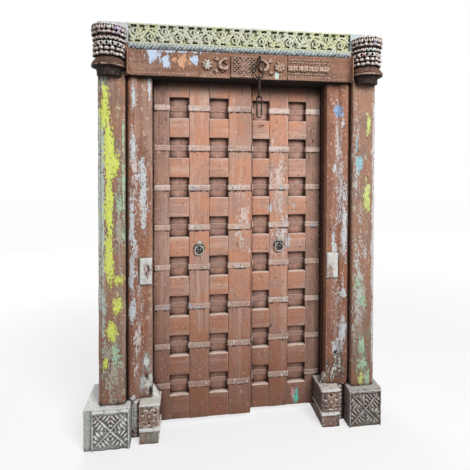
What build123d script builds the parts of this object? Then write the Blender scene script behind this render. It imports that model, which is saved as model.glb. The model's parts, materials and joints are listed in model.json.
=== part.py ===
# Carved double door in its frame: two strapped leaves on wooden pivots between carved posts.
# Lengths are millimetres. +Z is up, the front faces -Y, and the origin lies under the middle.
import math
import os

from build123d import *

os.makedirs("parts", exist_ok=True)

# Doorway and frame
opening_half_width = 440.0
lintel_bottom = 1744.0
jamb_front_depth = 54.0
frame_front_depth = 90.0
frame_back_depth = 100.0
post_seam = 2.0
overrun = 6.0

# Leaves
leaf_bottom = 38.0
leaf_head_cover = 16.0
leaf_step = 38.0
lip_cover = 25.0
rebate_clearance = 4.0
lip_clearance = 2.0
head_clearance = 5.0
sill_clearance = 4.0
meeting_gap = 4.0
meeting_offset = 55.0
meeting_lip = 9.0
board_thickness = 22.0
stile_thickness = 30.0
timber_chamfer = 3.0
plank_seam = 1.0

# Grid of recesses
recess_width = 98.0
recess_height = 102.0
column_pitch = 200.0
hanging_stile_width = 79.0
row_pitch = 200.0
row_top_margin = 97.0
row_count = 8

# Pivots
pivot_radius = 20.0
pivot_length = 30.0
pivot_clearance = 1.0
pivot_end_clearance = 4.0
pivot_chamfer = 4.0

# Back ledges
ledge_width = 90.0
ledge_thickness = 22.0
ledge_setback = 100.0
ledge_chamfer = 5.0
ledge_height_shares = (0.16, 0.5, 0.84)

# Iron straps
strap_width = 28.0
strap_thickness = 3.0
strap_end_margin = 6.0

# Jambs and their small blocks
jamb_width = 120.0
jamb_flat_width = 60.0
jamb_round_rise = 16.0
jamb_block_height = 130.0
jamb_block_bottom = 747.0
jamb_block_rise = 14.0
jamb_block_chamfer = 5.0

# Jamb bases
base_height = 194.0
base_front_depth = 103.0
base_inner_step = 34.0
base_front_gap = 40.0
collar_height = 14.0
collar_rise = 7.0
base_ledge_bottom = 60.0
base_ledge_height = 16.0
base_panel_sink = 7.0
base_panel_margin = 12.0
ear_height = 58.0
ear_width = 26.0
ear_depth = 30.0
ear_bulge_share = 0.67
base_petals = 6

# Pilasters
pilaster_width = 122.0
pilaster_strip = 14.0
pilaster_strip_drop = 6.0
pilaster_chamfer = 5.0

# Plinths
plinth_height = 192.0
plinth_inner_step = 24.0
plinth_overhang = 27.0
worn_strip_width = 36.0
worn_strip_drop = 24.0
plinth_front_depth = 131.0
plinth_slope_height = 14.0
plinth_carving_rise = 7.0
plinth_border = 10.0
plinth_bar = 9.0
plinth_leaf_length = 44.0
plinth_leaf_width = 13.0
plinth_leaf_spread = 40.0

# Lintel, rope moulding and frieze
lintel_height = 121.0
fascia_rise = 6.0
lintel_lip_height = 14.0
lintel_lip_rise = 4.0
cove_radius = 34.0
cove_edge = 4.0
rope_height = 28.0
rope_back_depth = 6.0
rope_strand_depth = 9.0
rope_strand_width = 12.0
rope_strand_pitch = 18.0
rope_lean = 10.0
frieze_height = 98.0
frieze_depth = 60.0
frieze_overhang = 2.0
frieze_border = 9.0
frieze_sink = 8.0
vine_width = 8.0
vine_bays = 10
vine_swing = 26.0
vine_leaf_length = 42.0
vine_leaf_width = 17.0
vine_end_margin = 8.0
vine_leaf_turns = (36.0, 88.0, 140.0)
leaf_shoulder_shares = (0.3, 0.68)

# Carved middle of the lintel
middle_half = 215.0
middle_groove = 5.0
panel_half = 62.0
panel_rise = 10.0
panel_margin = 12.0
panel_border = 8.0
panel_sink = 4.0
panel_petals = 8
panel_bead_count = 12
panel_bead_height = 12.0
panel_bead_gap = 3.0
bird_centre = 104.0
bird_radius = 24.0
bird_body = 13.0
bird_neck = 8.0
bird_rise = 8.0
bird_head_turn = 60.0
bird_tail_turn = 40.0
flower_centre = 178.0
flower_radius = 24.0
flower_petals = 6
flower_rise = 6.0
carved_run_end = 440.0
carved_run_flowers = 4

# Capitals
capital_drop = 10.0
capital_height = 223.0
capital_top_radius = 82.0
capital_rim_radius = 75.0
capital_neck_radius = 64.0
capital_foot_radius = 58.0
capital_foot_height = 36.0
capital_rim_height = 33.0
capital_neck_height = 18.0
capital_tiers = 4
capital_beads = 9
capital_sides = 36
bead_sides = 8
bead_radius = 12.0
tier_groove = 5.0
tier_flare = 4.0

# Chain and its staple
chain_offset = 15.0
bar_sides = 8
bar_bends = 8
chain_wire = 4.0
chain_play = 0.3
chain_stand_depth = 36.0
staple_leg_rise = 65.0
staple_legs_apart = 30.0
staple_bight = 14.0
staple_drive = 24.0
drive_clearance = 0.2
first_link_length = 77.0
first_link_width = 36.0
long_link_length = 102.0
long_link_width = 22.0
hasp_offset = 5.0
hasp_drop = 26.0
hasp_wire = 2.5
hasp_half_width = 9.0
hasp_depth = 14.0

# Ring pulls
pull_row = 4
pull_lift = 5.0
pull_plate_radius = 26.0
pull_plate_thickness = 3.0
pull_plate_lobes = 8
pull_lobe_radius = 9.0
pull_plate_drop = 12.0
pull_eye_width = 7.0
pull_eye_radius = 9.0
pull_eye_depth = 9.0
ring_radius = 22.0
ring_wire = 3.2
ring_play = 0.6

# Places worked out from the driving sizes
leaf_thickness = board_thickness + stile_thickness
front_reach = frame_front_depth + capital_top_radius
back_reach = leaf_step + leaf_thickness + ledge_thickness
left_face_y = (front_reach - back_reach) / 2
right_face_y = left_face_y + leaf_step
jamb_face_y = left_face_y - jamb_front_depth
frame_face_y = left_face_y - frame_front_depth
frame_back_y = left_face_y + frame_back_depth
leaf_top = lintel_bottom + leaf_head_cover
rebate_ceiling = leaf_top + head_clearance
hinge_edge = opening_half_width + lip_cover
rebate_half = hinge_edge + rebate_clearance
pivot_half = hinge_edge - leaf_thickness / 2
recess_outer_edge = pivot_half - hanging_stile_width
middle_stile_edges = (recess_outer_edge - column_pitch, recess_outer_edge - recess_width)
row_top = leaf_top - row_top_margin
post_half = opening_half_width + jamb_width + post_seam
pilaster_outer = post_half + pilaster_width
pilaster_middle = post_half + pilaster_width / 2
plinth_inner_half = post_half - plinth_inner_step
plinth_outer_half = pilaster_outer + plinth_overhang
base_inner_half = opening_half_width - base_inner_step
base_front_end = plinth_inner_half - base_front_gap
frieze_half_length = pilaster_outer + frieze_overhang
rope_bottom = lintel_bottom + lintel_height
head_top = rope_bottom + rope_height
fascia_y = frame_face_y - fascia_rise
capital_bottom = lintel_bottom - capital_drop
capital_place = pilaster_middle + pilaster_strip / 2
fascia_half = capital_place - capital_top_radius - post_seam
chain_y = fascia_y - chain_stand_depth
chain_place = meeting_offset + chain_offset
staple_leg_height = lintel_bottom + staple_leg_rise
right_lip_edge = meeting_offset + meeting_gap + meeting_lip
hasp_place = (right_lip_edge + middle_stile_edges[0]) / 2 + hasp_offset
hasp_height = row_top - recess_height - hasp_drop
pull_place = sum(middle_stile_edges) / 2
pull_height = row_top - pull_row * row_pitch + (row_pitch - recess_height) / 2 + pull_lift
centre_shift = worn_strip_width / 2


def span_box(x_span, y_span, z_span, mode=Mode.ADD):
    """Add a squared timber between pairs of X, Y and Z."""
    middle = [(low + high) / 2 for low, high in (x_span, y_span, z_span)]
    sizes = [abs(high - low) for low, high in (x_span, y_span, z_span)]
    with Locations(Vector(*middle)):
        Box(*sizes, mode=mode)


def face_plane(y):
    """A plane on a front face, with sketch X to the right and sketch Y up."""
    return Plane(origin=(0, y, 0), x_dir=(1, 0, 0), z_dir=(0, -1, 0))


def petal(start, angle, length, width):
    """Sketch a pointed leaf from a start point, turned by an angle."""
    near, far = [share * length for share in leaf_shoulder_shares]
    half = width / 2
    with BuildSketch(mode=Mode.PRIVATE) as leaf:
        with BuildLine():
            Polyline((0, 0), (near, half), (far, half), (length, 0), (far, -half), (near, -half), close=True)
        make_face()
    with Locations(Location((start[0], start[1], 0), (0, 0, angle))):
        add(leaf.sketch)


def save(part, name):
    """Set a finished piece about the middle of the whole box, label it and write its file."""
    placed = part.moved(Location((centre_shift, 0, 0)))
    placed.label = name
    export_step(placed, "parts/" + name + ".step")


# Jambs: rebated posts with a flat inner strip and a rounded outer part.
def make_jamb(side, name, face_y):
    inner = side * opening_half_width
    seam = side * (opening_half_width + jamb_flat_width)
    outer = side * (opening_half_width + jamb_width)
    crown = ((seam + outer) / 2, jamb_face_y - jamb_round_rise)
    lip_y = face_y - lip_clearance
    with BuildPart() as jamb:
        with BuildSketch(Plane.XY.offset(base_height)):
            with BuildLine():
                Polyline((seam, jamb_face_y), (inner, jamb_face_y), (inner, lip_y),
                         (side * rebate_half, lip_y), (side * rebate_half, frame_back_y),
                         (outer, frame_back_y), (outer, jamb_face_y))
                ThreePointArc((outer, jamb_face_y), crown, (seam, jamb_face_y))
            make_face()
        extrude(amount=lintel_bottom - base_height)
    save(jamb.part, name)


# Jamb blocks: small raised blocks on the jambs' flat strips.
def make_jamb_block(side, name):
    with BuildPart() as block:
        span_box((side * opening_half_width, side * (opening_half_width + jamb_flat_width)),
                 (jamb_face_y - jamb_block_rise, jamb_face_y),
                 (jamb_block_bottom, jamb_block_bottom + jamb_block_height))
        front = block.faces().sort_by(Axis.Y)[0]
        chamfer(front.edges(), length=jamb_block_chamfer)
    save(block.part, name)


# Jamb bases: carved blocks under the jambs, with a collar, a sunk panel and the pivot socket.
def make_jamb_base(side, name, face_y):
    inner = side * base_inner_half
    front_end = side * base_front_end
    outer = side * (opening_half_width + jamb_width)
    front_y = left_face_y - base_front_depth
    lip_y = face_y - strap_thickness - lip_clearance
    low_top = leaf_bottom - sill_clearance
    pivot_y = face_y + leaf_thickness / 2
    with BuildPart() as base:
        with BuildSketch():
            with BuildLine():
                Polyline((inner, front_y), (front_end, front_y), (front_end, jamb_face_y),
                         (outer, jamb_face_y), (outer, frame_back_y), (inner, frame_back_y),
                         (inner, front_y))
            make_face()
        extrude(amount=base_height)
        # Room behind the lip for the foot of the leaf
        span_box((side * (base_inner_half - overrun), side * rebate_half),
                 (lip_y, frame_back_y + overrun),
                 (low_top, base_height + overrun), mode=Mode.SUBTRACT)
        # Collar at the top and ledge below the panel, round the front and the inner side
        for bottom, height in ((base_height - collar_height, collar_height),
                               (base_ledge_bottom, base_ledge_height)):
            span_box((side * (base_inner_half - collar_rise), front_end),
                     (front_y - collar_rise, lip_y),
                     (bottom, bottom + height))
        panel_low = base_ledge_bottom + base_ledge_height + base_panel_margin
        panel_high = base_height - collar_height - base_panel_margin
        span_box((side * (base_inner_half + base_panel_margin),
                  side * (base_front_end - base_panel_margin)),
                 (front_y - overrun, front_y + base_panel_sink),
                 (panel_low, panel_high), mode=Mode.SUBTRACT)
        with BuildSketch(face_plane(front_y + base_panel_sink)):
            middle = (side * (base_inner_half + base_front_end) / 2, (panel_low + panel_high) / 2)
            reach = (panel_high - panel_low) / 2
            for turn in range(base_petals):
                petal(middle, turn * 360 / base_petals, reach, reach / 2)
        extrude(amount=base_panel_sink)
        # Small curved ear that rises from the collar at the inner edge
        with BuildSketch(Plane.XZ.offset(-jamb_face_y)):
            with BuildLine():
                Line((inner, base_height), (side * opening_half_width, base_height))
                Line((side * opening_half_width, base_height),
                     (side * opening_half_width, base_height + ear_height))
                ThreePointArc((side * opening_half_width, base_height + ear_height),
                              (side * (opening_half_width - ear_width / 2),
                               base_height + ear_bulge_share * ear_height),
                              (inner, base_height))
            make_face()
        extrude(amount=ear_depth, dir=(0, 1, 0))
        # Socket for the lower pivot
        with Locations((side * pivot_half, pivot_y, low_top)):
            Hole(pivot_radius + pivot_clearance, depth=pivot_length)
    save(base.part, name)


# Pilasters: flat boards beside the jambs, with a lower strip along the outer edge.
def make_pilaster(side, name):
    inner = side * post_half
    strip = side * (pilaster_outer - pilaster_strip)
    outer = side * pilaster_outer
    strip_y = frame_face_y + pilaster_strip_drop
    with BuildPart() as pilaster:
        with BuildSketch(Plane.XY.offset(plinth_height)):
            with BuildLine():
                Polyline((inner, frame_face_y + pilaster_chamfer),
                         (inner + side * pilaster_chamfer, frame_face_y),
                         (strip, frame_face_y), (strip, strip_y), (outer, strip_y),
                         (outer, frame_back_y), (inner, frame_back_y),
                         (inner, frame_face_y + pilaster_chamfer))
            make_face()
        extrude(amount=head_top - plinth_height)
    save(pilaster.part, name)


# Plinths: blocks under the pilasters, with a lattice and leaves carved on the front.
def make_plinth(side, name, strip):
    inner = side * plinth_inner_half
    outer = side * plinth_outer_half
    far = side * (plinth_outer_half + strip)
    front_y = left_face_y - plinth_front_depth
    ground_y = front_y + plinth_carving_rise
    seam_y = jamb_face_y - jamb_round_rise - post_seam
    with BuildPart() as plinth:
        with BuildSketch():
            with BuildLine():
                Polyline((inner, ground_y), (far, ground_y), (far, frame_back_y),
                         (side * post_half, frame_back_y), (side * post_half, seam_y),
                         (inner, seam_y), (inner, ground_y))
            make_face()
        extrude(amount=plinth_height)
        top = plinth.faces().sort_by(Axis.Z)[-1]
        front_edge = top.edges().sort_by(Axis.Y)[0]
        chamfer(front_edge, length=plinth_slope_height)
        # Border, crossed bars and a spray of leaves in each quarter
        field_high = plinth_height - plinth_slope_height
        middle = ((inner + outer) / 2, field_high / 2)
        width = abs(outer - inner)
        with BuildSketch(face_plane(ground_y)):
            with Locations(middle):
                Rectangle(width, field_high)
                Rectangle(width - 2 * plinth_border, field_high - 2 * plinth_border,
                          mode=Mode.SUBTRACT)
            half_x = width / 2 - plinth_border / 2
            half_z = field_high / 2 - plinth_border / 2
            diagonal = Vector(half_x, half_z).length
            lean = Vector(1, 0).get_angle(Vector(half_x, half_z))
            for turn in (lean, -lean):
                with Locations(Location((middle[0], middle[1], 0), (0, 0, turn))):
                    Rectangle(2 * diagonal, plinth_bar)
            for quarter in range(4):
                heading = quarter * 90
                root = Vector(*middle) + Vector(plinth_leaf_width, 0).rotate(Axis.Z, heading)
                for spread in (-plinth_leaf_spread, 0, plinth_leaf_spread):
                    petal((root.X, root.Y), heading + spread, plinth_leaf_length, plinth_leaf_width)
        extrude(amount=plinth_carving_rise)
        if strip > 0:
            # Plain strip beside the carving, with its upper corner worn away
            span_box((outer, far), (front_y, ground_y), (0, field_high))
            with BuildSketch(face_plane(front_y)):
                with BuildLine():
                    Polyline((far, plinth_height - worn_strip_drop), (far, plinth_height),
                             (outer, plinth_height), close=True)
                make_face()
            extrude(until=Until.LAST, dir=(0, 1, 0), mode=Mode.SUBTRACT)
    save(plinth.part, name)


# Capitals: half-round blocks with a coved foot, a rim, a neck and tiers of beads.
def make_capital(side, name):
    place = side * capital_place
    rim_low = capital_bottom + capital_foot_height
    rim_high = rim_low + capital_rim_height
    tiers_low = rim_high + capital_neck_height
    tier_height = (capital_bottom + capital_height - tiers_low) / capital_tiers
    axis = Axis((place, frame_face_y, 0), (0, 0, 1))
    with BuildPart() as capital:
        with BuildSketch(face_plane(frame_face_y)):
            with BuildLine():
                Polyline((place, tiers_low), (place, capital_bottom),
                         (place - capital_foot_radius, capital_bottom))
                RadiusArc((place - capital_foot_radius, capital_bottom),
                          (place - capital_rim_radius, rim_low), capital_foot_height)
                ThreePointArc((place - capital_rim_radius, rim_low),
                              (place - capital_rim_radius - tier_flare, (rim_low + rim_high) / 2),
                              (place - capital_rim_radius, rim_high))
                Polyline((place - capital_rim_radius, rim_high),
                         (place - capital_neck_radius, rim_high),
                         (place - capital_neck_radius, tiers_low), (place, tiers_low))
            make_face()
        revolve(axis=axis, revolution_arc=180)
        for tier in range(capital_tiers):
            rank = capital_tiers - 1 - tier
            radius = capital_top_radius - rank * tier_flare - bead_radius
            bottom = tiers_low + tier * tier_height
            with BuildSketch(Plane((place, frame_face_y, bottom))):
                RegularPolygon(radius, capital_sides)
                with PolarLocations(radius, capital_beads, start_angle=-180,
                                    angular_range=180, endpoint=True):
                    RegularPolygon(bead_radius, bead_sides)
                with Locations((0, capital_top_radius)):
                    Rectangle(2 * capital_top_radius + overrun, 2 * capital_top_radius,
                              mode=Mode.SUBTRACT)
            extrude(amount=tier_height - tier_groove)
            with BuildSketch(Plane((place, frame_face_y, bottom + tier_height - tier_groove))):
                RegularPolygon(radius, capital_sides)
                with Locations((0, capital_top_radius)):
                    Rectangle(2 * capital_top_radius, 2 * capital_top_radius, mode=Mode.SUBTRACT)
            extrude(amount=tier_groove)
    save(capital.part, name)


# Lintel: one beam with the upper pivot sockets, leaf rebates and a carved middle.
def make_lintel():
    middle_z = lintel_bottom + lintel_height / 2
    with BuildPart() as lintel:
        span_box((-post_half, post_half), (frame_face_y, frame_back_y), (lintel_bottom, head_top))
        span_box((-fascia_half, fascia_half), (fascia_y, frame_face_y), (lintel_bottom, rope_bottom))
        # Lip along the lower edge, and a cove that brings each end forward to its capital
        for side in (-1, 1):
            span_box((side * (middle_half + middle_groove), side * fascia_half),
                     (fascia_y - lintel_lip_rise, fascia_y),
                     (lintel_bottom, lintel_bottom + lintel_lip_height))
            cove_end = side * (fascia_half - cove_edge)
            cove_start = cove_end - side * cove_radius
            with BuildSketch(Plane.XY.offset(lintel_bottom)):
                with BuildLine():
                    CenterArc((cove_start, fascia_y - cove_radius), cove_radius, 90, -90 * side)
                    Polyline((cove_end, fascia_y - cove_radius),
                             (side * fascia_half, fascia_y - cove_radius),
                             (side * fascia_half, fascia_y), (cove_start, fascia_y))
                make_face()
            extrude(amount=lintel_height)
        # Rebates over the two leaves
        meeting = meeting_offset + meeting_gap / 2
        for x_span, face_y in (((-rebate_half, meeting), left_face_y),
                               ((meeting, rebate_half), right_face_y)):
            span_box(x_span, (face_y - lip_clearance, frame_back_y + overrun),
                     (lintel_bottom - overrun, rebate_ceiling), mode=Mode.SUBTRACT)
        # Sockets for the upper pivots
        for side, face_y in ((-1, left_face_y), (1, right_face_y)):
            with BuildSketch(Plane.XY.offset(rebate_ceiling)):
                with Locations((side * pivot_half, face_y + leaf_thickness / 2)):
                    Circle(pivot_radius + pivot_clearance)
            extrude(amount=pivot_length, mode=Mode.SUBTRACT)
        # Upright grooves that end the carved middle
        for side in (-1, 1):
            span_box((side * middle_half, side * (middle_half + middle_groove)),
                     (fascia_y - overrun, fascia_y + fascia_rise / 2),
                     (lintel_bottom - overrun, rope_bottom + overrun), mode=Mode.SUBTRACT)
        # Raised panel with a sunk field and a row of beads along its foot
        panel_low = lintel_bottom + panel_bead_height
        panel_high = rope_bottom - panel_margin
        span_box((-panel_half, panel_half), (fascia_y - panel_rise, fascia_y), (panel_low, panel_high))
        span_box((-panel_half + panel_border, panel_half - panel_border),
                 (fascia_y - panel_rise - overrun, fascia_y - panel_rise + panel_sink),
                 (panel_low + panel_border, panel_high - panel_border), mode=Mode.SUBTRACT)
        bead_pitch = 2 * panel_half / panel_bead_count
        with BuildSketch(face_plane(fascia_y)):
            with Locations((0, lintel_bottom + panel_bead_height / 2)):
                with GridLocations(bead_pitch, 0, panel_bead_count, 1):
                    Rectangle(bead_pitch - panel_bead_gap, panel_bead_height)
        extrude(amount=panel_rise)
        with BuildSketch(face_plane(fascia_y - panel_rise + panel_sink)):
            for turn in range(panel_petals):
                petal((0, (panel_low + panel_high) / 2), turn * 360 / panel_petals,
                      panel_half - 2 * panel_border, panel_margin)
        extrude(amount=panel_sink)
        # Two facing birds: curled bodies that open towards the panel
        with BuildSketch(face_plane(fascia_y)):
            for side in (-1, 1):
                centre = side * bird_centre
                with Locations((centre, middle_z)):
                    Circle(bird_radius)
                with Locations((centre - side * bird_neck / 2, middle_z + bird_neck / 2)):
                    Circle(bird_radius - bird_body, mode=Mode.SUBTRACT)
                with Locations((centre - side * bird_radius, middle_z)):
                    Rectangle(bird_radius, bird_body, mode=Mode.SUBTRACT)
                petal((centre - side * bird_neck, middle_z + bird_radius - bird_neck),
                      90 - side * bird_head_turn, bird_radius, bird_body)
                petal((centre + side * bird_neck, middle_z - bird_radius + bird_neck),
                      -90 - side * bird_tail_turn, bird_radius, bird_body)
        extrude(amount=bird_rise)
        # Flowers beside the birds, and a run of them on the right part
        with BuildSketch(face_plane(fascia_y)):
            run = carved_run_end - middle_half
            places = [-flower_centre, flower_centre]
            places += [middle_half + run * (index + 1 / 2) / carved_run_flowers
                       for index in range(carved_run_flowers)]
            for place in places:
                for turn in range(flower_petals):
                    petal((place, middle_z), turn * 360 / flower_petals, flower_radius,
                          flower_radius / 2)
        extrude(amount=flower_rise)
        # Holes for the legs of the chain staple
        for leg_z in (staple_leg_height, staple_leg_height + staple_legs_apart):
            with BuildSketch(face_plane(fascia_y - overrun)):
                with Locations((chain_place, leg_z)):
                    Circle(chain_wire + drive_clearance)
            extrude(amount=-overrun - staple_drive - drive_clearance, mode=Mode.SUBTRACT)
    save(lintel.part, "lintel")


# Rope moulding: slanting strands on a thin batten along the top of the lintel.
def make_rope():
    count = int(2 * (fascia_half - rope_lean) / rope_strand_pitch)
    back_y = frame_face_y - rope_back_depth
    with BuildPart() as rope:
        span_box((-fascia_half, fascia_half), (back_y, frame_face_y), (rope_bottom, head_top))
        with BuildSketch(face_plane(back_y)):
            with GridLocations(rope_strand_pitch, 0, count, 1):
                with BuildLine():
                    half = rope_strand_width / 2
                    Polyline((-half - rope_lean / 2, rope_bottom), (half - rope_lean / 2, rope_bottom),
                             (half + rope_lean / 2, head_top), (-half + rope_lean / 2, head_top),
                             (-half - rope_lean / 2, rope_bottom))
                make_face()
        extrude(amount=rope_strand_depth)
    save(rope.part, "rope_moulding")


# Frieze board: a sunk field with a running vine and leaves, plain at both ends.
def make_frieze():
    field_low = head_top + frieze_border
    field_high = head_top + frieze_height - frieze_border
    middle_z = (field_low + field_high) / 2
    ground_y = frame_face_y + frieze_sink
    vine_half = fascia_half - vine_end_margin
    bay = 2 * vine_half / vine_bays
    with BuildPart() as frieze:
        span_box((-frieze_half_length, frieze_half_length),
                 (frame_face_y, frame_face_y + frieze_depth), (head_top, head_top + frieze_height))
        span_box((-fascia_half, fascia_half), (frame_face_y - overrun, ground_y),
                 (field_low, field_high), mode=Mode.SUBTRACT)
        with BuildSketch(face_plane(ground_y)):
            with BuildLine():
                for index in range(vine_bays):
                    start = -vine_half + index * bay
                    swing = vine_swing if index % 2 else -vine_swing
                    ThreePointArc((start, middle_z), (start + bay / 2, middle_z + swing),
                                  (start + bay, middle_z))
            trace(line_width=vine_width)
            for index in range(vine_bays):
                centre = -vine_half + (index + 1 / 2) * bay
                away = -1 if index % 2 else 1
                root = (centre, middle_z - away * (vine_swing - vine_width))
                for turn in vine_leaf_turns:
                    petal(root, away * turn, vine_leaf_length, vine_leaf_width)
        extrude(amount=frieze_sink)
    save(frieze.part, "frieze_board")


# Leaf timbers: boards, stiles and short rails round two columns of recesses.
def make_leaf(side, prefix, face_y, meeting_from, meeting_to):
    boards_y = face_y + stile_thickness
    back_y = face_y + leaf_thickness
    heel_edge = pivot_half - leaf_thickness / 2
    pivot_y = face_y + leaf_thickness / 2
    outer_recess = (recess_outer_edge - recess_width, recess_outer_edge)
    inner_recess = (meeting_to, middle_stile_edges[0])
    height = (leaf_bottom, leaf_top)

    # Hanging stile: rounded heel with a pivot at each end, and a shoulder for the boards
    with BuildPart() as hanging:
        with BuildSketch(Plane.XY.offset(leaf_bottom)):
            with BuildLine():
                Polyline((side * pivot_half, face_y), (side * recess_outer_edge, face_y),
                         (side * recess_outer_edge, boards_y), (side * heel_edge, boards_y),
                         (side * heel_edge, back_y), (side * pivot_half, back_y))
                ThreePointArc((side * pivot_half, back_y), (side * hinge_edge, pivot_y),
                              (side * pivot_half, face_y))
            make_face()
        extrude(amount=leaf_top - leaf_bottom)
        shaft = pivot_length - pivot_end_clearance
        for end, direction in ((leaf_top, 1), (leaf_bottom, -1)):
            with BuildSketch(Plane.XY.offset(end)):
                with Locations((side * pivot_half, pivot_y)):
                    Circle(pivot_radius)
            extrude(amount=direction * shaft)
        ends = hanging.faces().sort_by(Axis.Z)
        chamfer([ends[0].edges(), ends[-1].edges()], length=pivot_chamfer)
    save(hanging.part, prefix + "_hanging_stile")

    # Middle and meeting stiles
    for name, edges in (("_middle_stile", middle_stile_edges),
                        ("_meeting_stile", (meeting_from, meeting_to))):
        with BuildPart() as stile:
            span_box((side * edges[0], side * edges[1]), (face_y, boards_y), height)
            front = stile.faces().sort_by(Axis.Y)[0]
            chamfer(front.edges().filter_by(Axis.Z), length=timber_chamfer)
        save(stile.part, prefix + name)

    # Short rails that close each column above, between and below the recesses
    tops = [leaf_top] + [row_top - row * row_pitch - recess_height for row in range(row_count)]
    bottoms = [row_top - row * row_pitch for row in range(row_count)] + [leaf_bottom]
    for name, edges in (("_outer_rails", outer_recess), ("_inner_rails", inner_recess)):
        with BuildPart() as rails:
            for top, bottom in zip(tops, bottoms):
                span_box((side * edges[0], side * edges[1]), (face_y, boards_y), (bottom, top))
            fronts = rails.faces().filter_by(Axis.Y).group_by(Axis.Y)[0]
            chamfer(fronts.edges().filter_by(Axis.X), length=timber_chamfer)
        save(rails.part, prefix + name)

    # Two planks behind, which meet behind the middle stile
    plank_joint = sum(middle_stile_edges) / 2
    with BuildPart() as boards:
        for edges in ((meeting_from, plank_joint - plank_seam), (plank_joint, heel_edge)):
            span_box((side * edges[0], side * edges[1]), (boards_y, back_y), height)
    save(boards.part, prefix + "_boards")

    # Ledges across the back
    with BuildPart() as ledges:
        for share in ledge_height_shares:
            middle = leaf_bottom + share * (leaf_top - leaf_bottom)
            span_box((side * (meeting_from + strap_end_margin), side * (pivot_half - ledge_setback)),
                     (back_y, back_y + ledge_thickness),
                     (middle - ledge_width / 2, middle + ledge_width / 2))
        backs = ledges.faces().filter_by(Axis.Y).group_by(Axis.Y)[-1]
        chamfer(backs.edges().filter_by(Axis.X), length=ledge_chamfer)
    save(ledges.part, prefix + "_ledges")

    # Bent straps that follow the stiles and dip into both recesses of a row
    strap_y = face_y - strap_thickness
    deep_y = boards_y - strap_thickness
    near, far = meeting_from + strap_end_margin, pivot_half - strap_end_margin
    for row in range(row_count):
        middle = row_top - row * row_pitch - recess_height / 2
        under = [(near, face_y)]
        over = [(near, strap_y)]
        for low, high in (inner_recess, outer_recess):
            under += [(low, face_y), (low, boards_y), (high, boards_y), (high, face_y)]
            inner, outer = low + strap_thickness, high - strap_thickness
            over += [(inner, strap_y), (inner, deep_y), (outer, deep_y), (outer, strap_y)]
        under.append((far, face_y))
        over.append((far, strap_y))
        outline = [(side * u, y) for u, y in under + over[::-1]]
        with BuildPart() as strap:
            with BuildSketch(Plane.XY.offset(middle - strap_width / 2)):
                with BuildLine():
                    Polyline(*outline, close=True)
                make_face()
            extrude(amount=strap_width)
        save(strap.part, prefix + "_strap_" + str(row + 1))


def bend(centre, radius, start, turn):
    """Corners of a bar that is hammered round a centre in short straight lengths."""
    step = turn / bar_bends
    reach = Vector(radius / math.cos(math.radians(step / 2)), 0)
    headings = [start + (bent + 1 / 2) * step for bent in range(bar_bends)]
    return [tuple(Vector(centre) + reach.rotate(Axis.Z, heading)) for heading in headings]


# Ring pulls: a lobed plate with a forged eye, and a ring hanging in the eye.
def make_pull(side, prefix, face_y):
    place = side * pull_place
    plate_y = face_y - pull_plate_thickness
    eye_y = plate_y - pull_eye_depth
    with BuildPart() as plate:
        with BuildSketch(face_plane(face_y)):
            with Locations((place, pull_height - pull_plate_drop)):
                Circle(pull_plate_radius)
                with PolarLocations(pull_plate_radius - pull_lobe_radius / 2, pull_plate_lobes):
                    Circle(pull_lobe_radius)
        extrude(amount=pull_plate_thickness)
        with BuildSketch(Plane.YZ.offset(place - pull_eye_width / 2)):
            with Locations((eye_y, pull_height)):
                Circle(pull_eye_radius)
            with Locations(((eye_y + plate_y) / 2, pull_height)):
                Rectangle(pull_eye_depth, 2 * pull_eye_radius)
            with Locations((eye_y, pull_height)):
                Circle(ring_wire + ring_play, mode=Mode.SUBTRACT)
        extrude(amount=pull_eye_width)
    save(plate.part, prefix + "_pull_plate")

    with BuildPart() as ring:
        with BuildLine(face_plane(eye_y)) as path:
            turn = bend((place, pull_height - ring_radius), ring_radius, 90, 180)
            Polyline((place, pull_height), *turn, (place, pull_height - 2 * ring_radius))
        seam = Plane(origin=path.line @ 0, z_dir=path.line % 0)
        with BuildSketch(seam):
            RegularPolygon(ring_wire, bar_sides)
        sweep(transition=Transition.RIGHT)
        mirror(about=seam)
    save(ring.part, prefix + "_ring")


# Chain: a staple in the lintel and three long links, each turned a quarter from the last.
def make_link(name, plane, length, width):
    half = width / 2
    straight = length - width
    with BuildPart() as link:
        with BuildLine(plane) as path:
            Polyline((half, straight / 2), *bend((0, straight), half, 0, 180), (-half, straight / 2))
        seam = Plane(origin=path.line @ 0, z_dir=path.line % 0)
        with BuildSketch(seam):
            RegularPolygon(chain_wire, bar_sides)
        sweep(transition=Transition.RIGHT)
        mirror(about=seam)
    save(link.part, name)


def make_chain():
    hang = 2 * chain_wire + chain_play
    with BuildPart() as staple:
        with BuildLine(Plane.YZ.offset(chain_place)) as path:
            low = staple_leg_height
            high = staple_leg_height + staple_legs_apart
            turn_y = chain_y - staple_bight
            turn = bend((turn_y, (low + high) / 2), staple_legs_apart / 2, 270, -180)
            Polyline((fascia_y + staple_drive, low), *turn, (fascia_y + staple_drive, high))
        with BuildSketch(Plane(origin=path.line @ 0, z_dir=path.line % 0)):
            RegularPolygon(chain_wire, bar_sides)
        sweep(transition=Transition.RIGHT)
    save(staple.part, "chain_staple")

    first_foot = staple_leg_height + hang - first_link_length
    second_foot = first_foot + hang - long_link_length
    third_foot = second_foot + hang - long_link_length
    for name, foot, length, width, x_dir in (
            ("chain_link_1", first_foot, first_link_length, first_link_width, (1, 0, 0)),
            ("chain_link_2", second_foot, long_link_length, long_link_width, (0, 1, 0)),
            ("chain_link_3", third_foot, long_link_length, long_link_width, (1, 0, 0))):
        across = Vector(*x_dir)
        plane = Plane(origin=(chain_place, chain_y, foot + width / 2), x_dir=across,
                      z_dir=across.cross(Vector(0, 0, 1)))
        make_link(name, plane, length, width)


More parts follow.
